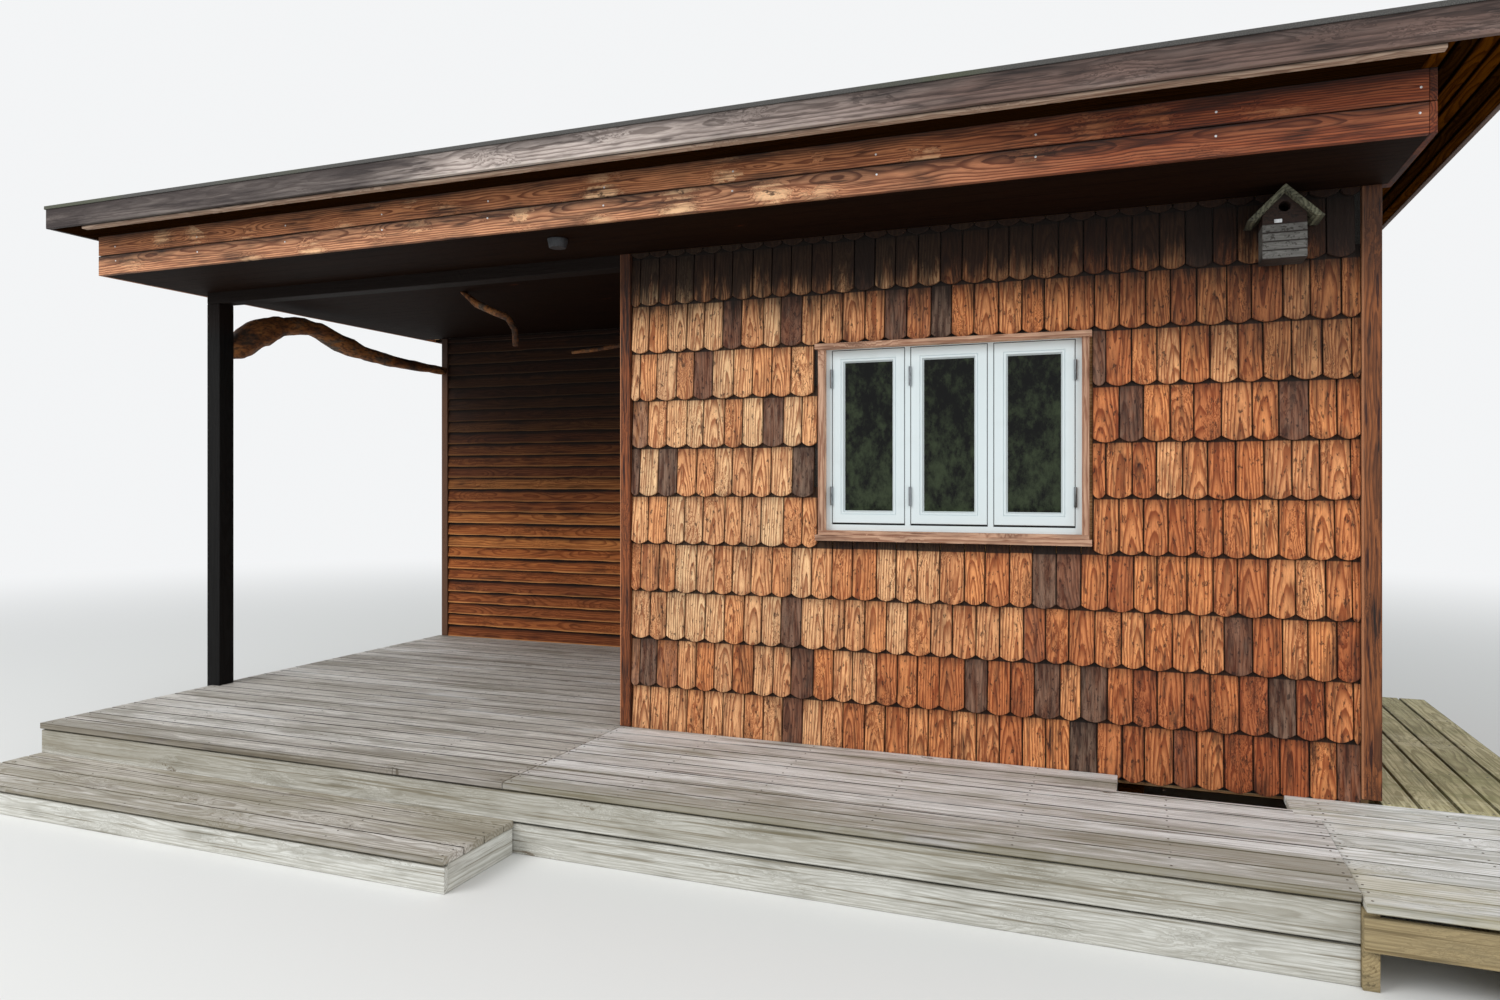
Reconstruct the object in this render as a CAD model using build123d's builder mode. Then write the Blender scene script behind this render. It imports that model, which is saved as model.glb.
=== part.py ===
"""Wooden garden hut with a covered porch, decks and a flat two-tier roof.

Millimetres, +Z up, the front looks along -Y. The origin is on the ground, at the
middle of everything the hut covers. Levels are heights above the ground, and the
timber runs down to the ground under every deck.
"""
import os
from build123d import *

# Levels
deck_top = 280.0
soffit_height = 2320.0
box_height = 212.0
roof_edge_height = 117.0

# Hut plan
hut_width = 3215.0
hut_depth = 2200.0
porch_width = 2700.0
left_eave = 290.0
right_eave = 366.0
end_eave = 810.0
box_reach = 580.0
box_left_inset = 94.0
box_right_reach = 48.0

# Decks
walk_depth = 1000.0
walk_right_gap = 240.0
side_deck_width = 645.0
step_depth = 430.0
step_rise = 148.0
step_length = 2780.0
terrace_left_inset = 258.0
right_deck_drop = 15.0
right_deck_reach = 40.0
right_riser_height = 100.0
tucked_boards = 3
board_width = 120.0
board_gap = 5.0
board_thickness = 28.0
joist_width = 45.0
joist_spacing = 560.0
riser_thickness = 22.0
riser_setback = 8.0
riser_height = 118.0
riser_gap = 8.0
riser_rows = 2
side_board_count = 5
side_board_gap = 9.0
least_rip = 30.0

# Planting notch in the walkway, beside the wall
notch_right_gap = 80.0
notch_width = 605.0
notch_depth = 230.0

# Walls
core_thickness = 100.0
clad_thickness = 30.0
floor_thickness = 40.0
bearer_width = 100.0
bearer_setback = 60.0
bearer_spacing = 800.0
fit_gap = 0.3
overcut = 1.0
corner_board = 46.0
right_corner_board = 58.0
corner_proud = 8.0
ceiling_thickness = 12.0

# Shingle courses
shingle_exposure = 232.0
shingle_drop = 28.0
shingle_head = 14.0
least_course = 1.0

# Lapped boards
lap_exposure = 88.0
lap_head = 15.0
porch_core = 70.0

# Window
window_left = 1040.0
window_width = 1112.0
window_sill = 980.0
window_height = 846.0
casing_thickness = 28.0
casing_proud = 16.0
cap_height = 24.0
cap_proud = 34.0
trim_overhang = 11.0
sill_height = 45.0
sill_nose_height = 26.0
sill_proud = 30.0
sill_chamfer = 6.0
frame_inset = 22.0
frame_depth = 72.0
frame_margin = 27.0
mullion_width = 24.0
sash_clearance = 3.0
sash_stile = 56.0
sash_depth = 50.0
sash_bevel = 9.0
frame_stop = 12.0
glass_thickness = 16.0
glass_inset = 14.0
hinge_length = 85.0
hinge_radius = 6.0
hinge_offset = 114.0

# Door on the porch side
door_width = 820.0
door_height = 1960.0
door_front_gap = 420.0
door_frame_width = 60.0
door_frame_depth = 90.0
door_thickness = 45.0

# Porch timber
post_size = 100.0
post_outset = 77.0
beam_drop = 65.0

# Roof
soffit_thickness = 18.0
roof_joist_spacing = 600.0
lower_board_gap = 4.0
lower_board_thickness = 22.0
upper_board_height = 105.0
upper_board_thickness = 21.0
upper_board_lip = 2.0
fascia_joint = 1.0
slab_thickness = 77.0
felt_lip = 6.0
felt_drip = 4.0
kerb_width = 70.0
eave_board_gap = 9.0
eave_board_count = 6
drip_batten_width = 35.0
drip_batten_height = 17.0
drip_batten_inset = 250.0

# Nest box on the front wall
nest_width = 150.0
nest_height = 170.0
nest_depth = 130.0
nest_from_right = 333.0
nest_soffit_gap = 3.0
nest_roof_slope = 1.0
nest_roof_width = 262.0
nest_roof_thickness = 30.0
nest_roof_reach = 35.0
nest_hole_radius = 20.0
nest_hole_height = 197.0
nest_wall = 15.0

# Natural limbs under the porch roof: (run along it, drop below the soffit, radius)
tie_sides = 8
tie_shift = 44.0
tie_run = [
    (0.0, 325.0, 50.0),
    (90.0, 290.0, 80.0),
    (220.0, 200.0, 88.0),
    (420.0, 125.0, 62.0),
    (660.0, 110.0, 55.0),
    (880.0, 170.0, 62.0),
    (1200.0, 225.0, 48.0),
    (1550.0, 245.0, 38.0),
]
tie_end_drop = 252.0
tie_end_radius = 30.0
hook_from_hut = 1340.0
hook_from_front = 520.0
hook_end_radius = 20.0
hook_run = [
    (95.0, 75.0, 22.0),
    (215.0, 130.0, 20.0),
    (310.0, 170.0, 19.0),
    (360.0, 240.0, 18.0),
    (368.0, 335.0, 18.0),
]
rail_from_front = 1500.0
rail_run = [
    (1190.0, 245.0, 11.0),
    (1020.0, 235.0, 14.0),
    (830.0, 215.0, 15.0),
    (690.0, 230.0, 15.0),
    (610.0, 290.0, 15.0),
    (480.0, 320.0, 14.0),
]
rail_end_drop = 320.0
rail_end_radius = 14.0

# Lamp under the front eave
lamp_from_hut = 125.0
lamp_from_front = 390.0
lamp_radius = 48.0
lamp_height = 42.0
lamp_taper = 12.0

# Places worked out from the sizes above
hut_left = -(hut_width + side_deck_width - porch_width - left_eave) / 2
front_face = -(hut_depth + end_eave - walk_depth - step_depth) / 2
hut_right = hut_left + hut_width
back_face = front_face + hut_depth
porch_left = hut_left - porch_width
walk_front = front_face - walk_depth
step_front = walk_front - step_depth
terrace_left = porch_left + terrace_left_inset - left_eave
walk_right = hut_right - walk_right_gap
notch_right = walk_right - notch_right_gap
notch_left = notch_right - notch_width
side_right = hut_right + side_deck_width
soffit_bottom = deck_top + soffit_height
plate_top = soffit_bottom + soffit_thickness
box_top = soffit_bottom + box_height
slab_bottom = box_top + soffit_thickness
slab_top = slab_bottom + slab_thickness
roof_top = box_top + roof_edge_height
core_left = hut_left + clad_thickness
core_right = hut_right - clad_thickness
core_front = front_face + clad_thickness
core_back = back_face - clad_thickness
inner_left = core_left + core_thickness
inner_right = core_right - core_thickness
inner_front = core_front + core_thickness
inner_back = core_back - core_thickness
skin_bottom = deck_top - shingle_drop
porch_wall_front = back_face - 2 * clad_thickness - porch_core
post_left = porch_left - post_outset
board_pitch = board_width + board_gap
frame_left = hut_left + window_left
frame_right = frame_left + window_width
frame_bottom = deck_top + window_sill
frame_top = frame_bottom + window_height
frame_front = front_face + frame_inset
casing_left = frame_left - casing_thickness
casing_right = frame_right + casing_thickness
lining_top = frame_top + casing_thickness
sill_bottom = frame_bottom - sill_height
cap_bottom = frame_top - cap_height

roof_left = porch_left - left_eave
roof_right = hut_right + right_eave
roof_front = front_face - end_eave
roof_back = back_face + end_eave
box_left = roof_left + box_left_inset
box_right = hut_right + box_right_reach
box_front = front_face - box_reach
box_back = back_face + box_reach
fascia_left = roof_left + felt_lip
fascia_right = roof_right - felt_lip
fascia_front = roof_front + felt_lip
fascia_back = roof_back - felt_lip


def block(low, high, mode=Mode.ADD):
    """A box from its low corner to its high one, added to the piece in hand."""
    size = [b - a for a, b in zip(low, high)]
    with Locations(tuple(low)):
        Box(*size, align=(Align.MIN, Align.MIN, Align.MIN), mode=mode)


def cut_block(low, high):
    """The same box, taken away from the piece in hand."""
    block(low, high, Mode.SUBTRACT)


def lapped_skin(corner, outward, length, height, exposure, butt, head):
    """Courses that lap over one another: a saw-tooth section drawn along a wall.

    corner is the skin's lowest point against the core, at the end the section starts
    from, and outward is the way the wall faces.
    """
    up = Vector(0, 0, 1)
    section = Plane(origin=corner, x_dir=outward, z_dir=outward.cross(up))
    points = [(0, 0)]
    level = 0.0
    while level < height - least_course:
        top = min(level + exposure, height)
        share = (top - level) / exposure
        points.append((butt, level))
        points.append((butt + (head - butt) * share, top))
        level = top
    points.append((0, height))
    with BuildPart() as skin:
        with BuildSketch(section):
            with BuildLine():
                Polyline(points, close=True)
            make_face()
        extrude(amount=length)
    return skin


def window_void(low_y, high_y, top):
    """The hole that the window's casing fills, cut through the piece in hand."""
    cut_block((casing_left, low_y, sill_bottom), (casing_right, high_y, top))


def spread(start, end, most):
    """Places from start to end, evenly spaced, with no step longer than most."""
    steps = max(1, -int(-(end - start) // most))
    return [start + (end - start) * i / steps for i in range(steps + 1)]


pieces = []

# Floor and what carries it
with BuildPart() as floor_bearers:
    first = core_left + bearer_setback
    last = core_right - bearer_setback - bearer_width
    for x in spread(first, last, bearer_spacing):
        block(
            (x, core_front + bearer_setback, 0),
            (x + bearer_width, core_back - bearer_setback, deck_top - floor_thickness),
        )
floor_bearers.part.label = "floor_bearers"
pieces.append(floor_bearers)

with BuildPart() as hut_floor:
    block(
        (core_left, core_front, deck_top - floor_thickness),
        (core_right, core_back, deck_top),
    )
hut_floor.part.label = "hut_floor"
pieces.append(hut_floor)

# Wall cores
with BuildPart() as front_wall:
    block((core_left, core_front, deck_top), (core_right, inner_front, plate_top))
    window_void(core_front - overcut, inner_front + overcut, lining_top)
front_wall.part.label = "front_wall"
pieces.append(front_wall)

with BuildPart() as back_wall:
    block((core_left, inner_back, deck_top), (core_right, core_back, plate_top))
back_wall.part.label = "back_wall"
pieces.append(back_wall)

with BuildPart() as right_wall:
    block((inner_right, inner_front, deck_top), (core_right, inner_back, plate_top))
right_wall.part.label = "right_wall"
pieces.append(right_wall)

door_start = front_face + door_front_gap
door_end = door_start + door_width + 2 * door_frame_width
door_head = deck_top + door_height + door_frame_width
with BuildPart() as left_wall:
    block((core_left, inner_front, deck_top), (inner_left, inner_back, plate_top))
    cut_block(
        (core_left - overcut, door_start, deck_top),
        (inner_left + overcut, door_end, door_head),
    )
left_wall.part.label = "left_wall"
pieces.append(left_wall)

with BuildPart() as porch_back_wall:
    block(
        (porch_left, porch_wall_front + clad_thickness, 0),
        (hut_left, back_face - clad_thickness, plate_top),
    )
porch_back_wall.part.label = "porch_back_wall"
pieces.append(porch_back_wall)

# Skins
skin_height = soffit_bottom - skin_bottom
front_shingles = lapped_skin(
    Vector(hut_right - right_corner_board, core_front, skin_bottom),
    Vector(0, -1, 0),
    hut_width - corner_board - right_corner_board,
    skin_height,
    shingle_exposure,
    clad_thickness,
    shingle_head,
)
with front_shingles:
    window_void(front_face - overcut, core_front + overcut, cap_bottom)
    for low, high in ((sill_bottom, sill_bottom + sill_nose_height), (cap_bottom, frame_top)):
        cut_block(
            (casing_left - trim_overhang, front_face - overcut, low),
            (casing_right + trim_overhang, core_front + overcut, high),
        )
front_shingles.part.label = "front_shingles"
pieces.append(front_shingles)

right_shingles = lapped_skin(
    Vector(core_right, back_face - corner_board, skin_bottom),
    Vector(1, 0, 0),
    hut_depth - corner_board - right_corner_board,
    box_top - skin_bottom,
    shingle_exposure,
    clad_thickness,
    shingle_head,
)
right_shingles.part.label = "right_shingles"
pieces.append(right_shingles)

left_cladding = lapped_skin(
    Vector(core_left, front_face + corner_board, skin_bottom),
    Vector(-1, 0, 0),
    porch_wall_front - front_face - corner_board,
    skin_height,
    lap_exposure,
    clad_thickness,
    lap_head,
)
with left_cladding:
    cut_block(
        (hut_left - overcut, door_start, skin_bottom - overcut),
        (core_left + overcut, door_end, door_head),
    )
left_cladding.part.label = "left_cladding"
pieces.append(left_cladding)

back_cladding = lapped_skin(
    Vector(porch_left + corner_board, core_back, skin_bottom),
    Vector(0, 1, 0),
    hut_right - porch_left - 2 * corner_board,
    skin_height,
    lap_exposure,
    clad_thickness,
    lap_head,
)
back_cladding.part.label = "back_cladding"
pieces.append(back_cladding)

porch_cladding = lapped_skin(
    Vector(hut_left, porch_wall_front + clad_thickness, deck_top),
    Vector(0, -1, 0),
    porch_width - corner_board,
    soffit_height,
    lap_exposure,
    clad_thickness,
    lap_head,
)
porch_cladding.part.label = "porch_cladding"
pieces.append(porch_cladding)


def corner_angle(corner, way_x, way_y, leg):
    """An L of boards round one corner of the core, from the deck up to the soffit."""
    proud = corner_proud
    with BuildSketch(Plane.XY.offset(deck_top)) as outline:
        with BuildLine():
            Polyline(
                (corner[0] + way_x * proud, corner[1] + way_y * proud),
                (corner[0] + way_x * proud, corner[1] - way_y * leg),
                (corner[0] - way_x * clad_thickness, corner[1] - way_y * leg),
                (corner[0] - way_x * clad_thickness, corner[1] - way_y * clad_thickness),
                (corner[0] - way_x * leg, corner[1] - way_y * clad_thickness),
                (corner[0] - way_x * leg, corner[1] + way_y * proud),
                close=True,
            )
        make_face()
    extrude(outline.sketch, amount=soffit_height)


with BuildPart() as corner_boards:
    corner_angle((hut_left, front_face), -1, -1, corner_board)
    corner_angle((hut_right, front_face), 1, -1, right_corner_board)
    corner_angle((hut_right, back_face), 1, 1, corner_board)
    block(
        (porch_left - corner_proud, porch_wall_front - corner_proud, deck_top),
        (porch_left + corner_board, back_face + corner_proud, soffit_bottom),
    )
    cut_block(
        (porch_left, porch_wall_front + clad_thickness, deck_top),
        (porch_left + corner_board, back_face - clad_thickness, soffit_bottom),
    )
corner_boards.part.label = "corner_boards"
pieces.append(corner_boards)

# Window
with BuildPart() as window_casing:
    block(
        (casing_left - trim_overhang, front_face - sill_proud, sill_bottom),
        (casing_right + trim_overhang, core_front, sill_bottom + sill_nose_height),
    )
    # The sill's nose sheds water off its top edge
    nose_edges = window_casing.edges().filter_by(Axis.X).group_by(Axis.Y)[0]
    chamfer(nose_edges.sort_by(Axis.Z)[-1], length=sill_chamfer)
    # Jambs in the skin, then the lining through the core
    block(
        (casing_left, front_face - casing_proud, sill_bottom),
        (casing_right, core_front, cap_bottom),
    )
    block((casing_left, core_front, sill_bottom), (casing_right, inner_front, lining_top))
    cut_block(
        (frame_left, front_face - casing_proud, frame_bottom),
        (frame_right, inner_front, frame_top),
    )
    # The cap passes in front of the frame's head and back to the core beside it
    block(
        (casing_left - trim_overhang, front_face - cap_proud, cap_bottom),
        (casing_right + trim_overhang, frame_front, frame_top),
    )
    for low, high in (
        (casing_left - trim_overhang, frame_left),
        (frame_right, casing_right + trim_overhang),
    ):
        block((low, frame_front, cap_bottom), (high, core_front, frame_top))
window_casing.part.label = "window_casing"
pieces.append(window_casing)

sash_space = window_width - 2 * frame_margin - 2 * mullion_width
light_width = sash_space / 3
light_height = window_height - 2 * frame_margin
light_lefts = [frame_left + frame_margin + i * (light_width + mullion_width) for i in range(3)]
front_plane = Plane(origin=(0, frame_front, 0), x_dir=(1, 0, 0), z_dir=(0, -1, 0))
with BuildPart() as window_frame:
    with BuildSketch(front_plane):
        with Locations(((frame_left + frame_right) / 2, (frame_bottom + frame_top) / 2)):
            Rectangle(window_width, window_height)
        for left in light_lefts:
            with Locations((left + light_width / 2, (frame_bottom + frame_top) / 2)):
                Rectangle(light_width, light_height, mode=Mode.SUBTRACT)
    extrude(amount=-sash_depth)
    with BuildSketch(front_plane.offset(-sash_depth)):
        with Locations(((frame_left + frame_right) / 2, (frame_bottom + frame_top) / 2)):
            Rectangle(window_width, window_height)
        for left in light_lefts:
            with Locations((left + light_width / 2, (frame_bottom + frame_top) / 2)):
                Rectangle(
                    light_width - 2 * frame_stop,
                    light_height - 2 * frame_stop,
                    mode=Mode.SUBTRACT,
                )
    extrude(amount=sash_depth - frame_depth)
window_frame.part.label = "window_frame"
pieces.append(window_frame)

sash_width = light_width - 2 * sash_clearance
sash_height = light_height - 2 * sash_clearance
glass_width = sash_width - 2 * sash_stile
glass_height = sash_height - 2 * sash_stile
for name, left in zip(("left", "middle", "right"), light_lefts):
    centre = (left + light_width / 2, (frame_bottom + frame_top) / 2)
    with BuildPart() as sash:
        with BuildSketch(front_plane):
            with Locations(centre):
                Rectangle(sash_width, sash_height)
                Rectangle(glass_width, glass_height, mode=Mode.SUBTRACT)
        extrude(amount=-sash_depth)
        face = sash.faces().sort_by(Axis.Y)[0]
        chamfer(face.inner_wires()[0].edges(), length=sash_bevel)
    sash.part.label = f"window_sash_{name}"
    pieces.append(sash)

with BuildPart() as window_glass:
    with BuildSketch(front_plane.offset(-glass_inset)):
        for left in light_lefts:
            with Locations((left + light_width / 2, (frame_bottom + frame_top) / 2)):
                Rectangle(glass_width, glass_height)
    extrude(amount=-glass_thickness)
window_glass.part.label = "window_glass"
pieces.append(window_glass)

hinge_edges = [
    light_lefts[0],
    light_lefts[1],
    light_lefts[2] + light_width,
]
with BuildPart() as window_hinges:
    for edge in hinge_edges:
        for level in (frame_bottom + hinge_offset, frame_top - hinge_offset - hinge_length):
            with BuildSketch(Plane(origin=(edge, frame_front - hinge_radius, level))):
                Circle(hinge_radius)
            extrude(amount=hinge_length)
window_hinges.part.label = "window_hinges"
pieces.append(window_hinges)

# Door
with BuildPart() as door_frame:
    block(
        (hut_left, door_start, deck_top),
        (hut_left + door_frame_depth, door_end, door_head),
    )
    cut_block(
        (hut_left - overcut, door_start + door_frame_width, deck_top - overcut),
        (
            hut_left + door_frame_depth + overcut,
            door_end - door_frame_width,
            door_head - door_frame_width,
        ),
    )
door_frame.part.label = "door_frame"
pieces.append(door_frame)

with BuildPart() as door_leaf:
    block(
        (hut_left + clad_thickness, door_start + door_frame_width, deck_top),
        (
            hut_left + clad_thickness + door_thickness,
            door_end - door_frame_width,
            door_head - door_frame_width,
        ),
    )
door_leaf.part.label = "door_leaf"
pieces.append(door_leaf)

# Porch timber
beam_bottom = soffit_bottom - beam_drop
with BuildPart() as porch_post:
    block(
        (post_left, front_face, 0),
        (post_left + post_size, front_face + post_size, beam_bottom),
    )
porch_post.part.label = "porch_post"
pieces.append(porch_post)

with BuildPart() as porch_beam:
    block(
        (post_left, front_face, beam_bottom),
        (hut_left - corner_proud, front_face + post_size, plate_top),
    )
porch_beam.part.label = "porch_beam"
pieces.append(porch_beam)

# Roof
inner_box_left = box_left + lower_board_thickness
inner_box_right = box_right - lower_board_thickness
inner_box_front = box_front + lower_board_thickness
inner_box_back = box_back - lower_board_thickness
with BuildPart() as roof_joists:
    for x in spread(inner_box_left, core_right - joist_width, roof_joist_spacing):
        block((x, inner_box_front, plate_top), (x + joist_width, inner_box_back, slab_bottom))
roof_joists.part.label = "roof_joists"
pieces.append(roof_joists)

with BuildPart() as hut_ceiling:
    block(
        (inner_left, inner_front, plate_top - ceiling_thickness),
        (inner_right, inner_back, plate_top),
    )
hut_ceiling.part.label = "hut_ceiling"
pieces.append(hut_ceiling)

with BuildPart() as soffit_boards:
    block((inner_box_left, inner_box_front, soffit_bottom), (inner_box_right, front_face, plate_top))
    block((inner_box_left, back_face, soffit_bottom), (inner_box_right, inner_box_back, plate_top))
    block(
        (inner_box_left, front_face, soffit_bottom),
        (post_left, front_face + post_size, plate_top),
    )
    block(
        (inner_box_left, front_face + post_size, soffit_bottom),
        (hut_left, porch_wall_front, plate_top),
    )
soffit_boards.part.label = "soffit_boards"
pieces.append(soffit_boards)

lower_board_height = (box_height - lower_board_gap) / 2
front_board_end = inner_box_right - fascia_joint
corner_back = front_face + right_corner_board
corner_front = back_face - corner_board
with BuildPart() as lower_fascia:
    for level in (soffit_bottom, soffit_bottom + lower_board_height + lower_board_gap):
        top = level + lower_board_height
        block((box_left, box_front, level), (front_board_end, inner_box_front, top))
        block((box_left, inner_box_back, level), (front_board_end, box_back, top))
        block(
            (box_left, inner_box_front + fascia_joint, level),
            (inner_box_left, inner_box_back - fascia_joint, top),
        )
        block((inner_box_right, box_front, level), (box_right, corner_back, top))
        block((inner_box_right, corner_front, level), (box_right, box_back, top))
    # Packing between the wall and the right-hand boards
    for low, high in ((front_face, corner_back), (corner_front, back_face)):
        block((hut_right, low, soffit_bottom), (inner_box_right, high, box_top))
lower_fascia.part.label = "lower_fascia"
pieces.append(lower_fascia)

inner_fascia_left = fascia_left + upper_board_thickness
inner_fascia_right = fascia_right - upper_board_thickness
inner_fascia_front = fascia_front + upper_board_thickness
inner_fascia_back = fascia_back - upper_board_thickness
with BuildPart() as eave_boards:
    eave_right = hut_right - fascia_joint
    block((inner_fascia_left, inner_fascia_front, box_top), (eave_right, inner_box_front, slab_bottom))
    block((inner_fascia_left, inner_box_back, box_top), (eave_right, inner_fascia_back, slab_bottom))
    block(
        (inner_fascia_left, inner_box_front + fascia_joint, box_top),
        (inner_box_left - fascia_joint, inner_box_back - fascia_joint, slab_bottom),
    )
    space = inner_fascia_right - hut_right
    strip = (space - eave_board_gap * (eave_board_count - 1)) / eave_board_count
    for i in range(eave_board_count):
        x = hut_right + i * (strip + eave_board_gap)
        block((x, inner_fascia_front, box_top), (x + strip, inner_fascia_back, slab_bottom))
eave_boards.part.label = "eave_boards"
pieces.append(eave_boards)

upper_bottom = box_top - upper_board_lip
with BuildPart() as upper_fascia:
    top = upper_bottom + upper_board_height
    block((fascia_left, fascia_front, upper_bottom), (fascia_right, inner_fascia_front, top))
    block((fascia_left, inner_fascia_back, upper_bottom), (fascia_right, fascia_back, top))
    for low, high in ((fascia_left, inner_fascia_left), (inner_fascia_right, fascia_right)):
        block(
            (low, inner_fascia_front + fascia_joint, upper_bottom),
            (high, inner_fascia_back - fascia_joint, top),
        )
upper_fascia.part.label = "upper_fascia"
pieces.append(upper_fascia)

with BuildPart() as roof_slab:
    block(
        (inner_fascia_left, inner_fascia_front, slab_bottom),
        (inner_fascia_right, inner_fascia_back, slab_top),
    )
roof_slab.part.label = "roof_slab"
pieces.append(roof_slab)

fascia_top = upper_bottom + upper_board_height
with BuildPart() as roof_felt:
    block((roof_left, roof_front, fascia_top - felt_drip), (roof_right, roof_back, roof_top))
    cut_block(
        (fascia_left, fascia_front, fascia_top - felt_drip - overcut),
        (fascia_right, fascia_back, fascia_top),
    )
    cut_block(
        (inner_fascia_left + kerb_width, inner_fascia_front + kerb_width, fascia_top - overcut),
        (inner_fascia_right - kerb_width, inner_fascia_back - kerb_width, roof_top + overcut),
    )
    block(
        (inner_fascia_left, inner_fascia_front, slab_top),
        (inner_fascia_right, inner_fascia_back, fascia_top),
    )
roof_felt.part.label = "roof_felt"
pieces.append(roof_felt)

with BuildPart() as drip_batten:
    block(
        (roof_left + drip_batten_inset, inner_fascia_front, box_top - drip_batten_height),
        (inner_box_right, inner_fascia_front + drip_batten_width, box_top),
    )
drip_batten.part.label = "drip_batten"
pieces.append(drip_batten)

# Nest box
nest_middle = hut_right - nest_from_right
nest_gable = nest_roof_slope * nest_width / 2
nest_apex = nest_height + nest_gable
nest_bottom = soffit_bottom - nest_soffit_gap - nest_roof_thickness - nest_apex
nest_plane = Plane(
    origin=(nest_middle, front_face, nest_bottom),
    x_dir=(1, 0, 0),
    z_dir=(0, -1, 0),
)
with BuildPart() as nest_box:
    with BuildSketch(nest_plane):
        with BuildLine():
            Polyline(
                (-nest_width / 2, 0),
                (nest_width / 2, 0),
                (nest_width / 2, nest_height),
                (0, nest_apex),
                (-nest_width / 2, nest_height),
                close=True,
            )
        make_face()
    extrude(amount=nest_depth)
    with BuildSketch(nest_plane.offset(nest_depth)):
        with Locations((0, nest_hole_height)):
            Circle(nest_hole_radius)
    extrude(amount=-(nest_depth - nest_wall), mode=Mode.SUBTRACT)
nest_box.part.label = "nest_box"
pieces.append(nest_box)

nest_tip = nest_roof_width / 2
nest_eave = nest_apex + nest_roof_thickness - nest_roof_slope * nest_tip
nest_eave_cut = nest_roof_thickness / nest_roof_slope
with BuildPart() as nest_box_roof:
    with BuildSketch(nest_plane):
        with BuildLine():
            Polyline(
                (0, nest_apex),
                (nest_tip - nest_eave_cut, nest_eave),
                (nest_tip, nest_eave),
                (0, nest_apex + nest_roof_thickness),
                (-nest_tip, nest_eave),
                (nest_eave_cut - nest_tip, nest_eave),
                close=True,
            )
        make_face()
    extrude(amount=nest_depth + nest_roof_reach)
nest_box_roof.part.label = "nest_box_roof"
pieces.append(nest_box_roof)

with BuildPart() as eave_lamp:
    lamp_place = (hut_left - lamp_from_hut, front_face - lamp_from_front, soffit_bottom)
    with BuildSketch(Plane(origin=lamp_place, z_dir=(0, 0, -1))):
        Circle(lamp_radius)
    extrude(amount=lamp_height, taper=lamp_taper)
eave_lamp.part.label = "eave_lamp"
pieces.append(eave_lamp)


def limb(start, along, run, first_way=None, last_way=None):
    """A natural limb in an upright plane: rings of flats, square to its middle line.

    first_way and last_way turn its two ends square to what they are fixed to.
    """
    middle = [start + along * length - Vector(0, 0, drop) for length, drop, _ in run]
    side = along.cross(Vector(0, 0, 1))
    with BuildPart() as timber:
        for i, (point, station) in enumerate(zip(middle, run)):
            before = middle[max(i - 1, 0)]
            after = middle[min(i + 1, len(middle) - 1)]
            way = after - before
            if i == 0 and first_way:
                way = first_way
            if i == len(middle) - 1 and last_way:
                way = last_way
            with BuildSketch(Plane(origin=point, x_dir=side, z_dir=way)):
                RegularPolygon(station[2], tie_sides)
        loft(ruled=True)
    return timber


backward = Vector(0, 1, 0)
to_right = Vector(1, 0, 0)
tie_start = Vector(post_left + post_size / 2, front_face + post_size, soffit_bottom)
tie_length = porch_wall_front - corner_proud - front_face - post_size
tie_stations = tie_run + [(tie_length, tie_end_drop, tie_end_radius)]
tie_way = Vector(tie_shift / tie_length, 1, 0)
branch_tie = limb(tie_start, tie_way, tie_stations, backward, backward)
branch_tie.part.label = "branch_tie"
pieces.append(branch_tie)

hook_start = Vector(hut_left - hook_from_hut, front_face + hook_from_front, soffit_bottom)
rail_start = Vector(hut_left, front_face + rail_from_front, soffit_bottom)
hook_stations = [(0, 0, hook_end_radius)] + hook_run
rail_stations = rail_run + [(0, rail_end_drop, rail_end_radius)]
ceiling_branches = limb(hook_start, to_right, hook_stations, first_way=Vector(0, 0, -1))
with ceiling_branches:
    add(limb(rail_start, -to_right, rail_stations, last_way=to_right).part)
ceiling_branches.part.label = "ceiling_branches"
pieces.append(ceiling_branches)


def boards_along_x(low_x, high_x, low_y, high_y, top):
    """Deck boards from front to back, the last one ripped to what is left."""
    y = low_y
    while high_y - y > least_rip:
        back = min(y + board_width, high_y)
        block((low_x, y, top - board_thickness), (high_x, back, top))
        y += board_pitch


def post_notch():
    """Room for the porch post at the terrace's edge, cut through the piece in hand."""
    cut_block((post_left, front_face, 0), (post_left + post_size, front_face + post_size, deck_top))


# Decks
frame_top_level = deck_top - board_thickness
terrace_edge = hut_left - board_gap
right_top = deck_top - right_deck_drop
right_frame_top = right_top - board_thickness
right_front = walk_front - right_deck_reach
right_deck_left = walk_right + board_gap
right_rows = int((front_face - right_front - least_rip) // board_pitch) + 1
tuck_front = right_front + (right_rows - tucked_boards) * board_pitch
step_top = deck_top - step_rise
step_frame_top = step_top - board_thickness
step_right = terrace_left + step_length

with BuildPart() as terrace_boards:
    boards_along_x(terrace_left, terrace_edge, walk_front, porch_wall_front, deck_top)
    cut_block(
        (hut_left - corner_proud, front_face - corner_proud, frame_top_level),
        (hut_left, porch_wall_front, deck_top),
    )
    post_notch()
terrace_boards.part.label = "terrace_boards"
pieces.append(terrace_boards)

with BuildPart() as walkway_boards:
    boards_along_x(hut_left, walk_right, walk_front, front_face, deck_top)
    cut_block(
        (notch_left, front_face - notch_depth, frame_top_level),
        (notch_right, front_face, deck_top),
    )
    cut_block(
        (notch_right, tuck_front - board_gap, frame_top_level),
        (walk_right, front_face, deck_top),
    )
walkway_boards.part.label = "walkway_boards"
pieces.append(walkway_boards)

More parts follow.
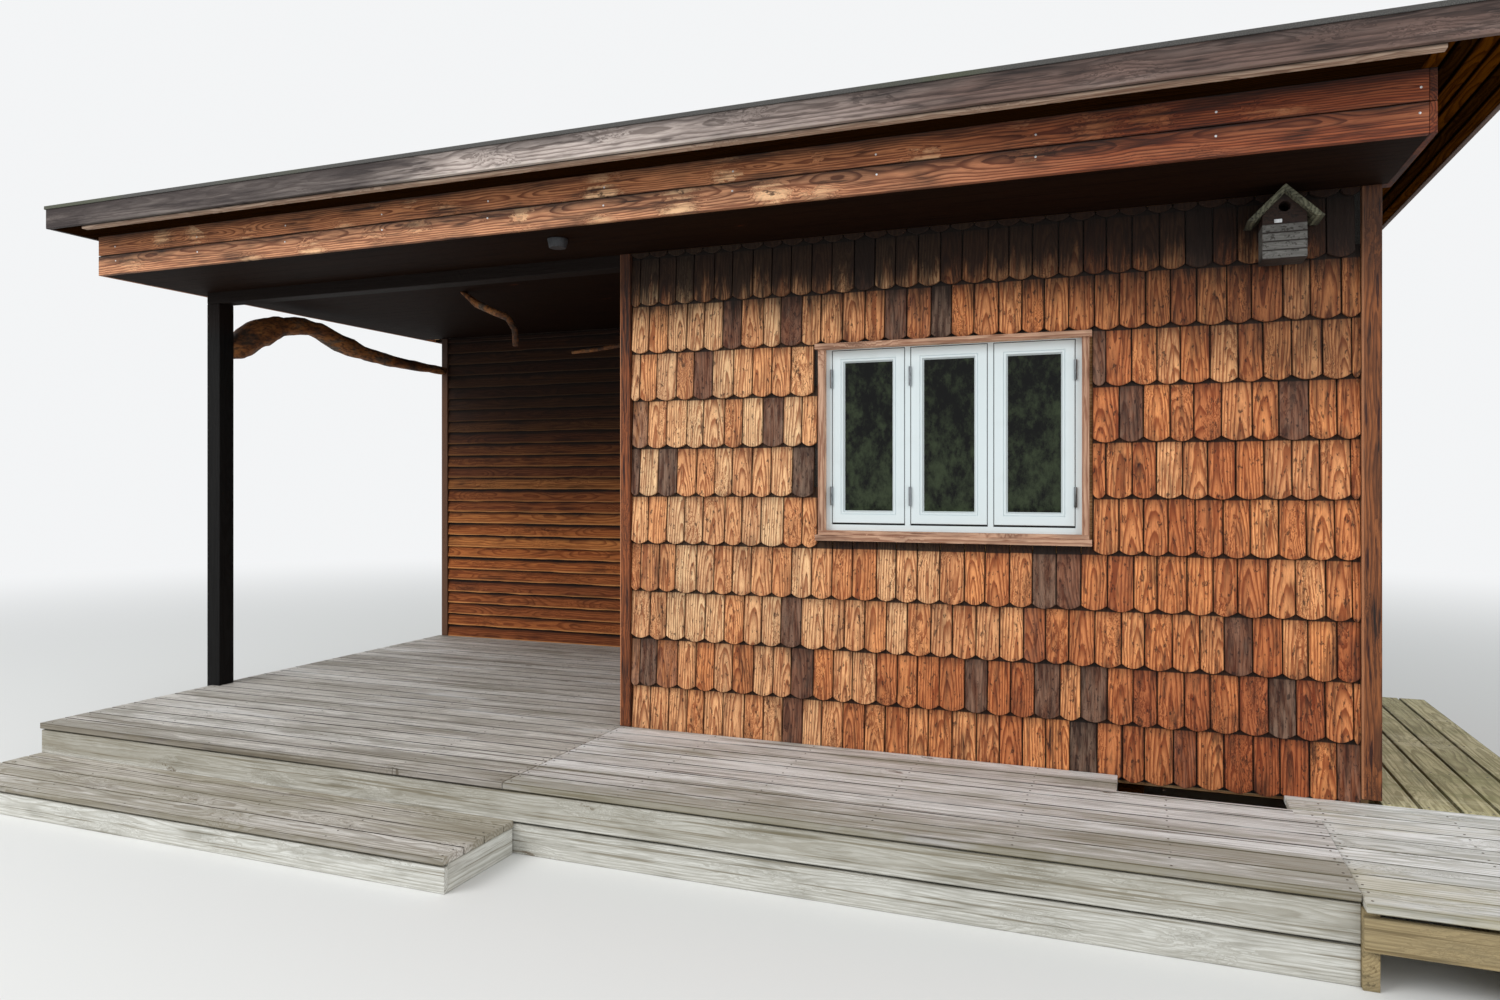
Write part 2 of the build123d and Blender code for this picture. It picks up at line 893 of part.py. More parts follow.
with BuildPart() as right_deck_boards:
    boards_along_x(right_deck_left, side_right, right_front, tuck_front - board_gap, right_top)
    boards_along_x(notch_right, side_right, tuck_front, front_face, right_top)
right_deck_boards.part.label = "right_deck_boards"
pieces.append(right_deck_boards)

with BuildPart() as side_deck_boards:
    for i in range(side_board_count):
        x = side_right - board_width - i * (board_width + side_board_gap)
        block(
            (x, front_face + board_gap, right_frame_top),
            (x + board_width, back_face, right_top),
        )
side_deck_boards.part.label = "side_deck_boards"
pieces.append(side_deck_boards)

with BuildPart() as step_boards:
    boards_along_x(terrace_left, step_right, step_front, walk_front + riser_setback, step_top)
step_boards.part.label = "step_boards"
pieces.append(step_boards)

joist_inset = riser_setback + riser_thickness
with BuildPart() as deck_joists:
    joist_front = walk_front + joist_inset
    for x in spread(terrace_left + joist_inset, terrace_edge - joist_width, joist_spacing):
        block((x, joist_front, 0), (x + joist_width, porch_wall_front, frame_top_level))
    for x in spread(hut_left, walk_right - joist_width, joist_spacing):
        block((x, joist_front, 0), (x + joist_width, front_face, frame_top_level))
    cut_block(
        (notch_left, front_face - notch_depth, 0),
        (notch_right, front_face, frame_top_level),
    )
    cut_block(
        (notch_right, tuck_front - board_gap, right_frame_top),
        (walk_right, front_face, frame_top_level),
    )
    for x in spread(walk_right + fit_gap, side_right - joist_width, joist_spacing):
        block((x, right_front + joist_inset, 0), (x + joist_width, front_face, right_frame_top))
    for y in spread(front_face + fit_gap, back_face - joist_width, joist_spacing):
        block((core_right - bearer_setback, y, 0), (side_right, y + joist_width, right_frame_top))
    for x in spread(terrace_left + joist_inset, step_right - joist_width, joist_spacing):
        block((x, step_front + joist_inset, 0), (x + joist_width, walk_front, step_frame_top))
    post_notch()
deck_joists.part.label = "deck_joists"
pieces.append(deck_joists)

with BuildPart() as deck_risers:
    for i in range(riser_rows):
        top = frame_top_level - riser_gap - i * (riser_height + riser_gap)
        low = max(top - riser_height, 0)
        front = walk_front + riser_setback
        side = terrace_left + riser_setback
        block((terrace_left, front, low), (walk_right, front + riser_thickness, top))
        block(
            (side, front + riser_thickness + fascia_joint, low),
            (side + riser_thickness, porch_wall_front, top),
        )
    front = right_front + riser_setback
    top = right_frame_top - 2 * riser_gap
    block(
        (walk_right + fit_gap, front, top - right_riser_height),
        (side_right, front + riser_thickness, top),
    )
    front = step_front + riser_setback
    block((terrace_left, front, 0), (step_right, front + riser_thickness, step_frame_top - riser_gap))
    post_notch()
deck_risers.part.label = "deck_risers"
pieces.append(deck_risers)

os.makedirs("parts", exist_ok=True)
for piece in pieces:
    export_step(piece.part, f"parts/{piece.part.label}.step")
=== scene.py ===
"""Dresses the wooden garden hut: shingles, lapped boards, decks, window, limbs and light.

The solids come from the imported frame, in metres. Every piece made here sits where its
solid sits, and every finish is worked out from nodes.
"""

import logging
import math
import random
from contextlib import contextmanager
from dataclasses import dataclass
from enum import Enum
from functools import cache
from typing import Callable, Iterable, Iterator, Optional, Sequence, Union

import bmesh
import bpy
from mathutils import Matrix, Vector, noise


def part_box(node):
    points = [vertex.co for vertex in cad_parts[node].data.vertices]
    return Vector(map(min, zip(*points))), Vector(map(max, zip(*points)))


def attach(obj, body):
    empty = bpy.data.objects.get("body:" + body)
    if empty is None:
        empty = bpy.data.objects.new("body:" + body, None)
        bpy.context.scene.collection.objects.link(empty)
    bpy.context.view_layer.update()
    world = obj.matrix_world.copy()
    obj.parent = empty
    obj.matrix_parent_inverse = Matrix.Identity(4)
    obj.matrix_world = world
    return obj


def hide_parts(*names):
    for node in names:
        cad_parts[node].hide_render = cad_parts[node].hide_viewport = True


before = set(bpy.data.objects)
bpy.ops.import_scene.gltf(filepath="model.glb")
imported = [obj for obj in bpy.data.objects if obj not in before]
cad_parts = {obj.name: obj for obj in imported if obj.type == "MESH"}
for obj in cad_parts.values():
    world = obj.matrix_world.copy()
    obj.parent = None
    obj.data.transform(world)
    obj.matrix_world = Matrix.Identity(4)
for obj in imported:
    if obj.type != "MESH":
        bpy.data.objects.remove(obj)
log = logging.getLogger("hut")

Draft = bmesh.types.BMesh
Material = bpy.types.Material
Mesh = bpy.types.Mesh
Point = Sequence[float]
Span = tuple[float, float]


def tint(code: str) -> tuple[float, float, float]:
    """A colour in linear light.

    Args:
        code: Red, green and blue in hexadecimal, two digits each.

    Returns:
        The three linear values.
    """
    dark_end, dark_slope, lift, gamma = 0.04045, 12.92, 0.055, 2.4
    parts = [int(code[i:i + 2], 16) / 255 for i in (0, 2, 4)]
    red, green, blue = (
        p / dark_slope if p <= dark_end else ((p + lift) / (1 + lift)) ** gamma for p in parts
    )
    return red, green, blue


def operator(operation: str, swapped: bool = False) -> Callable[..., "Wire"]:
    """A method that adds one Math node.

    Args:
        operation: What the node works out.
        swapped: True where the wire comes after the other value.

    Returns:
        The method.
    """
    def method(wire: "Wire", *others: "Value") -> "Wire":
        """Adds the node and gives its result."""
        return wire.graph.math(operation, *((*others, wire) if swapped else (wire, *others)))

    return method


class Wire:
    """A value on its way between two nodes, with arithmetic written as Python."""

    def __init__(self, graph: "Graph", socket: bpy.types.NodeSocket) -> None:
        """Keeps the socket and the graph it belongs to."""
        self.graph = graph
        self.socket = socket

    __add__ = __radd__ = operator("ADD")
    __sub__ = operator("SUBTRACT")
    __rsub__ = operator("SUBTRACT", swapped=True)
    __mul__ = operator("MULTIPLY")
    __truediv__ = operator("DIVIDE")
    above = operator("GREATER_THAN")
    least = operator("MINIMUM")
    most = operator("MAXIMUM")
    size = operator("ABSOLUTE")
    part = operator("FRACT")
    whole = operator("FLOOR")
    root = operator("SQRT")

    def ease(self, start: float, end: float) -> "Wire":
        """A soft step.

        Args:
            start: Where the step is 0.
            end: Where it is 1, above or below start.

        Returns:
            The step, from 0 to 1.
        """
        low, high = (0.0, 1.0) if start < end else (1.0, 0.0)
        return self.graph.wire("ShaderNodeMapRange", {"interpolation_type": "SMOOTHSTEP"}, {
            "Value": self, "From Min": min(start, end), "From Max": max(start, end),
            "To Min": low, "To Max": high,
        })


Value = Union[Wire, float]
Setting = Union[Wire, float, int, str, bool, Sequence[float], bpy.types.ID]
Settings = Optional[dict[str, object]]
Sockets = Optional[dict[str, Setting]]


class Graph:
    """A node tree that is written node by node."""

    def __init__(self, tree: bpy.types.NodeTree) -> None:
        """Keeps the tree."""
        self.tree = tree

    def node(self, kind: str, settings: Settings = None, sockets: Sockets = None) -> bpy.types.Node:
        """Adds one node.

        Args:
            kind: The node's type.
            settings: Its own settings, set first; stops holds a ramp's places and colours.
            sockets: A value or a link for each input, by its name or number.

        Returns:
            The node.
        """
        added = self.tree.nodes.new(kind)
        for name, value in (settings or {}).items():
            if name == "stops":
                self.stops(added.color_ramp, value)
            else:
                setattr(added, name, value)
        for name, value in (sockets or {}).items():
            named = [s for s in added.inputs if s.name == name and s.enabled]
            self.feed(named[0] if named else added.inputs[int(name)], value)
        return added

    def feed(self, socket: bpy.types.NodeSocket, value: Setting) -> None:
        """Links a wire to a socket, or sets the socket's own value.

        Args:
            socket: The socket.
            value: The wire or the value; a colour is six digits or three numbers.
        """
        if isinstance(value, Wire):
            self.tree.links.new(value.socket, socket)
        elif socket.type == "RGBA":
            socket.default_value = (*(tint(value) if isinstance(value, str) else value), 1.0)
        else:
            socket.default_value = value

    def out(self, node: bpy.types.Node, name: str = "") -> Wire:
        """A node's output by name, or its first one in use."""
        return Wire(self, [s for s in node.outputs if s.enabled and name in ("", s.name)][0])

    def wire(self, kind: str, settings: Settings = None, sockets: Sockets = None, name: str = "") -> Wire:
        """Adds one node as node does, and gives its output as out does."""
        return self.out(self.node(kind, settings, sockets), name)

    def math(self, operation: str, *values: Value) -> Wire:
        """The result of one Math node."""
        inputs = {str(i): value for i, value in enumerate(values)}
        return self.wire("ShaderNodeMath", {"operation": operation}, inputs)

    def vector(self, x: Value, y: Value, z: Value) -> Wire:
        """Three values as one vector."""
        return self.wire("ShaderNodeCombineXYZ", {}, {"X": x, "Y": y, "Z": z})

    def split(self, vector: Wire) -> tuple[Wire, Wire, Wire]:
        """A vector's three values."""
        node = self.node("ShaderNodeSeparateXYZ", {}, {"Vector": vector})
        return self.out(node, "X"), self.out(node, "Y"), self.out(node, "Z")

    @staticmethod
    def stops(ramp: bpy.types.ColorRamp, stops: Sequence[tuple[float, str]]) -> None:
        """Gives a ramp its stops.

        Args:
            ramp: The ramp.
            stops: A place and a colour for each stop.
        """
        while len(ramp.elements) < len(stops):
            ramp.elements.new(1.0)
        for element, (place, code) in zip(ramp.elements, stops):
            element.position = place
            element.color = (*tint(code), 1.0)


class Shader(Graph):
    """A material's node tree."""

    def __init__(self, name: str) -> None:
        """Makes an empty material.

        Args:
            name: The material's name.
        """
        self.material = bpy.data.materials.new(name)
        self.material.use_nodes = True
        super().__init__(self.material.node_tree)
        self.tree.nodes.clear()

    def attribute(self, name: str, output: str = "Vector") -> Wire:
        """A mesh attribute."""
        return self.wire("ShaderNodeAttribute", {"attribute_name": name}, {}, output)

    def place(self) -> tuple[Wire, Wire, Wire]:
        """The point on the object, in metres."""
        return self.split(self.wire("ShaderNodeTexCoord", name="Object"))

    def cloud(self, x: Value, y: Value, z: Value, detail: float = 3.0, rough: float = 0.5) -> Wire:
        """Soft noise from 0 to 1.

        Args:
            x: Where it is read, times how fine it is that way.
            y: The same for y.
            z: The same for z.
            detail: How many finer layers it has.
            rough: How strong those are.

        Returns:
            The noise.
        """
        sockets = {"Vector": self.vector(x, y, z), "Scale": 1.0, "Detail": detail, "Roughness": rough}
        return self.wire("ShaderNodeTexNoise", {}, sockets, "Fac")

    def ramp(self, at: Value, codes: str, places: Sequence[float] = ()) -> Wire:
        """A colour picked along a row of colours.

        Args:
            at: Where along the row, from 0 to 1.
            codes: The colours.
            places: Where each one lies, or nothing where they are evenly spread.

        Returns:
            The colour.
        """
        row = codes.split()
        spread = places or [i / (len(row) - 1) for i in range(len(row))]
        return self.wire("ShaderNodeValToRGB", {"stops": list(zip(spread, row))}, {"Fac": at}, "Color")

    def mix(self, share: Value, first: Setting, second: Setting, way: str = "MIX") -> Wire:
        """Two colours blended.

        Args:
            share: How much of the second one.
            first: The colour under it.
            second: The colour over it.
            way: How they blend.

        Returns:
            The blend.
        """
        settings = {"data_type": "RGBA", "blend_type": way, "clamp_factor": True}
        return self.wire("ShaderNodeMix", settings, {"Factor": share, "A": first, "B": second}, "Result")

    def darken(self, share: Value, colour: Wire, by: str) -> Wire:
        """A colour multiplied by another one, as far as share says."""
        return self.mix(share, colour, self.mix(1.0, colour, by, "MULTIPLY"))

    def surface(self, height: Optional[Wire], depth: float, **sockets: Setting) -> Material:
        """Ends the material in one Principled shader.

        Args:
            height: The relief, or None where it is smooth.
            depth: How deep the relief is, in metres.
            sockets: The shader's inputs, with _ for a space.

        Returns:
            The material.
        """
        inputs = {name.replace("_", " "): value for name, value in sockets.items()}
        if height is not None:
            inputs["Normal"] = self.wire("ShaderNodeBump", {}, {"Distance": depth, "Height": height})
        self.end(self.wire("ShaderNodeBsdfPrincipled", {}, inputs))
        return self.material

    def end(self, surface: Wire) -> None:
        """Makes a shader the material's surface."""
        self.tree.nodes.active = self.node("ShaderNodeOutputMaterial", {}, {"Surface": surface})


@dataclass(frozen=True)
class Finish:
    """What every finish has: its name and the record's material slot."""

    name: str
    slot: str

    def build(self) -> Material:
        """Makes the material."""
        raise NotImplementedError


@cache
def material(finish: Finish) -> Material:
    """A finish's material, made when it is first asked for."""
    return finish.build()


@dataclass(frozen=True)
class Wood(Finish):
    """A sawn wood with rings, streaks, knots and weather, and painted light and shade.

    The tones are the boards' own colours in a row, late is what rings and streaks are
    multiplied by, and stain is dirt and scorching, and also the colour of the shade painted
    at rims, butt ends and board heads. A pair holds where a soft step is 0 and where it is
    1: in metres for the butt and for the painted shade towards the roof, and from -1 to 1
    across a board for the head, where shade is painted, and for the lip, where a highlight
    is painted.
    """

    tones: str
    late: str
    stain: str
    places: Sequence[float] = ()
    knot: str = "4A2412"
    # halo is the pale colour round knots, and also that of the painted highlight on a board's lip.
    halo: str = "FFD0A0"
    flush: str = "B87048"
    flush_depth: float = 0.0
    ring: float = 0.014
    ring_depth: float = 0.7
    figure: float = 0.16
    heart: float = 0.018
    heart_stray: float = 0.03
    heart_aside: float = 0.07
    streak_run: float = 2.6
    streak_depth: float = 0.8
    fibre_depth: float = 0.45
    stain_from: float = 0.5
    stain_depth: float = 0.35
    knot_rate: float = 3.6
    knot_share: float = 0.3
    knot_swell: float = 0.035
    halo_depth: float = 0.0
    # Darkening at a board's rims and butt end is dirt and painted shade in the joints; at its head it is
    # painted shade under the board above. The lip gets a painted highlight.
    rim_from: float = 0.88
    rim_dark: float = 0.35
    edge_share: float = 1.0
    head: Span = (-0.1, 1.0)
    head_dark: float = 0.0
    lip: Span = (-0.72, -0.96)
    lip_light: float = 0.0
    butt: Span = (0.03, 0.0)
    butt_dark: float = 0.0
    groove: float = 0.0
    groove_dark: float = 0.7
    groove_open: float = 0.32
    # Painted shade towards the roof: where it starts and where it is full, in metres up, how strong it is,
    # and its colour.
    dry: Span = (0.0, 0.0)
    dry_depth: float = 0.85
    dry_tint: str = "160C07"
    roughness: float = 0.72
    gloss: float = 0.4
    relief: float = 0.0012

    def tone(self, s: Shader, shade: Wire) -> Wire:
        """Where along the tones a board lies."""
        return shade

    def weather(self, s: Shader, colour: Wire) -> Wire:
        """Paints shade on the wood up towards the roof, where the roof keeps light off.

        Args:
            s: The material's tree.
            colour: The wood's own colour.

        Returns:
            The weathered colour.
        """
        if not any(self.dry):
            return colour
        dark = s.place()[2].ease(*self.dry) * self.dry_depth
        return s.mix(dark, colour, self.dry_tint)

    def build(self) -> Material:
        """Makes the material, which reads the attributes grain, spot and shade.

        Returns:
            The material.
        """
        s = Shader(self.name)
        along, across, through = s.split(s.attribute("grain"))
        low_end, side, skin = s.split(s.attribute("spot"))
        shade = s.attribute("shade", "Fac")
        other = (shade * 7.13).part()
        near, picked = self.knots(s, along, across, shade)
        late = self.rings(s, (along, across, through), shade, other, picked * near.ease(0.6, 0.0))
        broad = s.cloud(along * self.streak_run, across * 75, through * 75 + shade * 40, 3.0, 0.6)
        fine = s.cloud(along * 12, across * 330, through * 330, 3.0, 0.65)
        streak, fibre = broad.ease(0.5, 0.66), fine.ease(0.42, 0.68)
        blotch = s.cloud(along * 3.2, across * 14, shade * 9, 3.0, 0.6)
        colour = s.ramp(self.tone(s, shade), self.tones, self.places)
        if self.flush_depth > 0:
            tide = s.cloud(along * 8, across * 26, other * 50, 4.0, 0.72)
            flushed = (other * 0.4 + tide * 1.6).ease(0.75, 1.2)
            colour = s.mix(flushed * self.flush_depth, colour, self.flush)
        dark = (late * self.ring_depth).most(streak * self.streak_depth).most(fibre * self.fibre_depth)
        colour = s.darken(dark, colour, self.late)
        stained = blotch.ease(self.stain_from, self.stain_from + 0.26) * self.stain_depth
        colour = s.mix(stained * (0.5 + streak * 0.5), colour, self.stain)
        if self.halo_depth > 0:
            feather = broad.ease(0.62, 0.4) * 0.8 + 0.2
            halo = picked * (near + (broad - 0.5) * 0.5).ease(0.5, 0.15) * feather
            colour = s.mix(halo * self.halo_depth, colour, self.halo)
        knot = picked * near.ease(0.13, 0.05)
        colour = s.mix(knot * 0.85, colour, self.knot)
        # Dirt and painted shade in the stain colour: rims at joints and edges, the butt end, and painted
        # shade on the upper part of a board.
        rim = side.size().ease(self.rim_from, 1.0) * skin.size().ease(0.6, 0.9).most(self.edge_share)
        edge = rim * self.rim_dark + low_end.ease(*self.butt) * self.butt_dark
        edge = edge + side.ease(*self.head) * self.head_dark
        colour = s.mix(edge * (0.45 + blotch), colour, self.stain)
        # A painted highlight along one edge of a board.
        if self.lip_light > 0:
            colour = s.mix(side.ease(*self.lip) * self.lip_light, colour, self.halo)
        height = streak * 0.4 + late * 0.35 + fibre * 0.3 + knot * 0.3
        if self.groove > 0:
            wave = ((across / self.groove).part() - 0.5).size()
            channel = wave.ease(0.5 - self.groove_open / 2, 0.5)
            height = height * 0.4 - channel * 1.6 + 1.6
            colour = s.darken(channel * self.groove_dark, colour, self.late)
        colour = self.weather(s, colour)
        rough = self.roughness + (fine - 0.5) * 0.2
        return s.surface(
            height, self.relief, Base_Color=colour, Roughness=rough, Specular_IOR_Level=self.gloss,
        )

    def knots(self, s: Shader, along: Wire, across: Wire, shade: Wire) -> tuple[Wire, Wire]:
        """Knots, scattered over a board.

        Args:
            s: The material's tree.
            along: Metres along the grain.
            across: Metres across the board.
            shade: The board's own number.

        Returns:
            How far the nearest middle is, and 1 where that one is a knot.
        """
        ragged = (s.cloud(along * 26, across * 60, shade * 5, 3.0, 0.7) - 0.5) * 0.8
        spot = s.vector(along * self.knot_rate + ragged, across * 9 - ragged, shade * 7)
        cells = s.node("ShaderNodeTexVoronoi", {"feature": "F1"}, {"Vector": spot, "Scale": 1.0})
        chance = s.split(s.out(cells, "Color"))[0]
        return s.out(cells, "Distance"), chance.ease(1 - self.knot_share, 1.02 - self.knot_share)

    def rings(
        self, s: Shader, grain: tuple[Wire, Wire, Wire], shade: Wire, other: Wire, swell: Wire,
    ) -> Wire:
        """Latewood lines of the log that a board was sawn from.

        Args:
            s: The material's tree.
            grain: Metres along the grain, across the board and through it.
            shade: The board's own number.
            other: A second number of its own.
            swell: 1 at the middle of a knot.

        Returns:
            1 on a latewood line.
        """
        along, across, through = grain
        sway = s.cloud(along * 2.2, across * 4, other * 30, 1.0) - 0.5
        depth = through + self.heart + other * self.heart_stray + sway * self.figure
        aside = across + (shade - 0.5) * self.heart_aside + sway * 0.04
        radius = (aside * aside + depth * depth).root() + swell * self.knot_swell
        wobble = s.cloud(along * 8, across * 50, through * 50, 2.0)
        band = (radius / self.ring + wobble * 0.7).part()
        return band.ease(0.2, 0.85) * band.ease(1.0, 0.88)


@dataclass(frozen=True)
class ShingleWood(Wood):
    """Shingles: paler tan towards the upper left of the wall, redder and darker to the right and low down.
    """

    cover: float = 0.232
    charred: float = 0.06
    red_x: Span = (0.12, 2.12)
    red_z: Span = (1.25, 0.3)
    grime_x: Span = (0.4, 2.4)
    grime_z: Span = (1.3, 0.4)
    # Where the painted shade under the roof reaches lower, towards the right.
    deep_x: Span = (1.2, 2.8)
    ashes: tuple[str, str] = ("2C1A12", "86705F")
    # The colours of the painted shadow under the course above and of the painted shade under the roof.
    shadow: str = "120A06"
    deep: str = "1A0E08"

    def tone(self, s: Shader, shade: Wire) -> Wire:
        """Shifts the tones by the place on the wall, and chars a few shingles.

        Args:
            s: The material's tree.
            shade: The shingle's own number.

        Returns:
            Where along the tones it lies.
        """
        x, _, z = s.place()
        redder = shade * 0.5 + x.ease(*self.red_x) * 0.36 + z.ease(*self.red_z) * 0.18
        return redder.least(0.88).most(shade.above(1 - self.charred))

    def weather(self, s: Shader, colour: Wire) -> Wire:
        """Adds ash, soot, specks and the shadows of the roof and of the course above.

        Args:
            s: The material's tree.
            colour: The wood's own colour.

        Returns:
            The weathered colour.
        """
        x, y, z = s.place()
        shade, low_end = s.attribute("shade", "Fac"), s.split(s.attribute("spot"))[0]
        ash = s.cloud(x * 55, y * 55, z * 6 + shade * 50, 3.0, 0.6).ease(0.35, 0.65)
        burnt = shade.ease(0.86, 1 - self.charred) * ((shade * 97).part() * 0.5 + 0.2)
        colour = s.mix(burnt, colour, s.mix(ash, *self.ashes))
        soot = s.cloud(x * 42 + shade * 60, y * 42, z * 5, 4.0, 0.66).ease(0.47, 0.68)
        grime = x.ease(*self.grime_x) * 0.3 + z.ease(*self.grime_z) * 0.22 + 0.22
        colour = s.mix(soot * grime, colour, self.stain)
        # Painted shade under the roof, with a ragged lower edge.
        wander = s.cloud(x * 34 + shade * 40, y * 34, z * 3, 4.0, 0.7) - 0.5
        dark = (z + wander * 0.5 + shade * 0.06).ease(*self.dry) * self.dry_depth
        colour = s.mix(dark, colour, self.dry_tint)
        speck = s.cloud(x * 80, y * 80, z * 34, 3.0, 0.65).ease(0.58, 0.66)
        colour = s.mix(speck * 0.75, colour, self.stain)
        # More painted shade under the roof, reaching lower towards the right.
        roof_shade_start, height = self.dry[0] - 0.1, z + x.ease(*self.deep_x) * 0.5
        colour = s.mix(height.ease(roof_shade_start, self.dry[1]) * 0.55, colour, self.deep)
        soft = low_end.ease(self.cover - 0.05, self.cover - 0.004)
        line = low_end.ease(self.cover - 0.009, self.cover - 0.001)
        return s.mix((soft * 0.35).most(line * 0.95), colour, self.shadow)


@dataclass(frozen=True)
class FasciaWood(Wood):
    """Boards that darken towards their ends, with sooty stretches."""

    left_x: Span = (-0.8, -1.4)
    left_depth: float = 0.0
    right_x: Span = (-0.2, 1.6)
    right_depth: float = 0.4
    deep: str = "B07E62"
    soot_depth: float = 0.6

    def weather(self, s: Shader, colour: Wire) -> Wire:
        """Darkens the wood along left_x and right_x, and here and there.

        Args:
            s: The material's tree.
            colour: The wood's own colour.

        Returns:
            The weathered colour.
        """
        x, _, z = s.place()
        patch = s.cloud(x * 1.3, z * 16, 0.0, 4.0, 0.7)
        right = x.ease(*self.right_x) * self.right_depth
        left = x.ease(*self.left_x) * self.left_depth
        colour = s.darken(right * (patch + 0.5), super().weather(s, colour), self.deep)
        soot = patch.ease(0.54, 0.66) * self.soot_depth
        return s.mix(left * (patch + 0.5) + soot, colour, self.stain)


@dataclass(frozen=True)
class DeckWood(Wood):
    """Deck boards with patches of dirt and of bleached wood that run over the joints."""

    dirt: str = "7A7260"
    dirt_depth: float = 0.55
    bleach: str = "F8F6F4"
    bleach_depth: float = 0.5
    front_y: Span = (-1.3, -1.8)

    def weather(self, s: Shader, colour: Wire) -> Wire:
        """Lays the patches over the boards, with more dirt along front_y.

        Args:
            s: The material's tree.
            colour: The wood's own colour.

        Returns:
            The weathered colour.
        """
        x, y, z = s.place()
        patch = s.cloud(x * 0.9, y * 6, z * 3, 5.0, 0.7) + y.ease(*self.front_y) * 0.13
        colour = s.mix(patch.ease(0.5, 0.66) * self.dirt_depth, colour, self.dirt)
        return s.mix(patch.ease(0.47, 0.33) * self.bleach_depth, colour, self.bleach)


@dataclass(frozen=True)
class CornerWood(Wood):
    """Corner boards: red-brown on the front, with shade painted on them that turns them near black deep
    under the porch roof.
    """

    deep_y: Span = (0.2, 1.1)
    right_x: Span = (0.0, 2.8)

    def weather(self, s: Shader, colour: Wire) -> Wire:
        """Paints shade on the boards deep under the roof, and darkens those to the right.

        Args:
            s: The material's tree.
            colour: The wood's own colour.

        Returns:
            The weathered colour.
        """
        x, y, _ = s.place()
        dark = (y.ease(*self.deep_y) * 0.8).most(x.ease(*self.right_x) * 0.3)
        return s.mix(dark, super().weather(s, colour), self.stain)


@dataclass(frozen=True)
class RiserWood(Wood):
    """Grey risers that turn tan past a place along the front."""

    tan_x: float = 2.5402
    high_z: Span = (0.13, 0.16)
    high_y: Span = (-2.0, -1.9)
    left_x: Span = (-1.6, -3.1)
    dirt: str = "7C7258"

    def tone(self, s: Shader, shade: Wire) -> Wire:
        """Keeps the last fifth of the tones for what lies past tan_x."""
        return shade * 0.78 + s.place()[0].above(self.tan_x)

    def weather(self, s: Shader, colour: Wire) -> Wire:
        """Dirties the upper riser, most of all at its left end.

        Args:
            s: The material's tree.
            colour: The wood's own colour.

        Returns:
            The weathered colour.
        """
        x, y, z = s.place()
        patch = s.cloud(x * 2.2, z * 8, y, 4.0, 0.7)
        upper = z.ease(*self.high_z) * y.ease(*self.high_y)
        dirt = upper * (0.35 + x.ease(*self.left_x) * 0.3) * (patch * 1.6)
        return s.mix(dirt, super().weather(s, colour), self.dirt)


@dataclass(frozen=True)
class NestWood(Wood):
    """The nest box: brown above, grey on its low boards."""

    line_z: float = 2.453

    def tone(self, s: Shader, shade: Wire) -> Wire:
        """Picks brown above the line and grey below it."""
        return s.place()[2].above(self.line_z) * 0.8 + shade * 0.2


@dataclass(frozen=True)
class Paint(Finish):
    """Brushed paint with a soft sheen."""

    colour: str
    dirt: str

    def build(self) -> Material:
        """Makes the material.

        Returns:
            The material.
        """
        s = Shader(self.name)
        x, y, z = s.place()
        brush = s.cloud(x * 60, y * 60, z * 60)
        cloud = s.cloud(x * 5, y * 5, z * 9)
        colour = s.mix(cloud.ease(0.5, 0.85) * 0.25, self.colour, self.dirt)
        return s.surface(brush, 0.0002, Base_Color=colour, Roughness=0.32 + cloud * 0.15)


@dataclass(frozen=True)
class Glass(Finish):
    """Dark window glass with a painted green reflection, greener low down."""

    colour: str
    cast: str
    low_z: Span = (2.1, 1.3)

    def build(self) -> Material:
        """Makes the material.

        Returns:
            The material.
        """
        s = Shader(self.name)
        x, y, z = s.place()
        smear = s.cloud(x * 12, y * 12, z * 8, 8.0, 0.78)
        # Painted reflection: green smears laid into the glass's own colour.
        green = (smear + z.ease(*self.low_z) * 0.1).ease(0.46, 0.72)
        colour = s.mix(green, self.colour, self.cast)
        return s.surface(None, 0, Base_Color=colour, Roughness=smear * 0.05 + 0.02, IOR=1.27)


@dataclass(frozen=True)
class Metal(Finish):
    """Plain metal or rubber, a little tarnished."""

    colour: str
    tarnish: str
    metallic: float = 0.9
    roughness: float = 0.38

    def build(self) -> Material:
        """Makes the material.

        Returns:
            The material.
        """
        s = Shader(self.name)
        x, y, z = s.place()
        spots = s.cloud(x * 90, y * 90, z * 30, 4.0)
        colour = s.mix(spots.ease(0.45, 0.7), self.colour, self.tarnish)
        rough = self.roughness + spots * 0.2
        return s.surface(spots, 0.0003, Base_Color=colour, Metallic=self.metallic, Roughness=rough)


@dataclass(frozen=True)
class Felt(Finish):
    """Mineral roofing felt, and also the near-black sheet that paints the shade behind the shingles'
    joints.
    """

    colour: str
    moss: str
    grit: str = "6A6864"

    def build(self) -> Material:
        """Makes the material.

        Returns:
            The material.
        """
        s = Shader(self.name)
        x, y, z = s.place()
        grit = s.cloud(x * 420, y * 420, z * 420, 2.0)
        patch = s.cloud(x * 1.6, y * 1.6, z * 1.6, 4.0)
        colour = s.mix(grit.ease(0.4, 0.65) * 0.6, self.colour, self.grit)
        colour = s.mix(patch.ease(0.52, 0.72) * 0.5, colour, self.moss)
        return s.surface(grit, 0.0015, Base_Color=colour, Roughness=0.93)


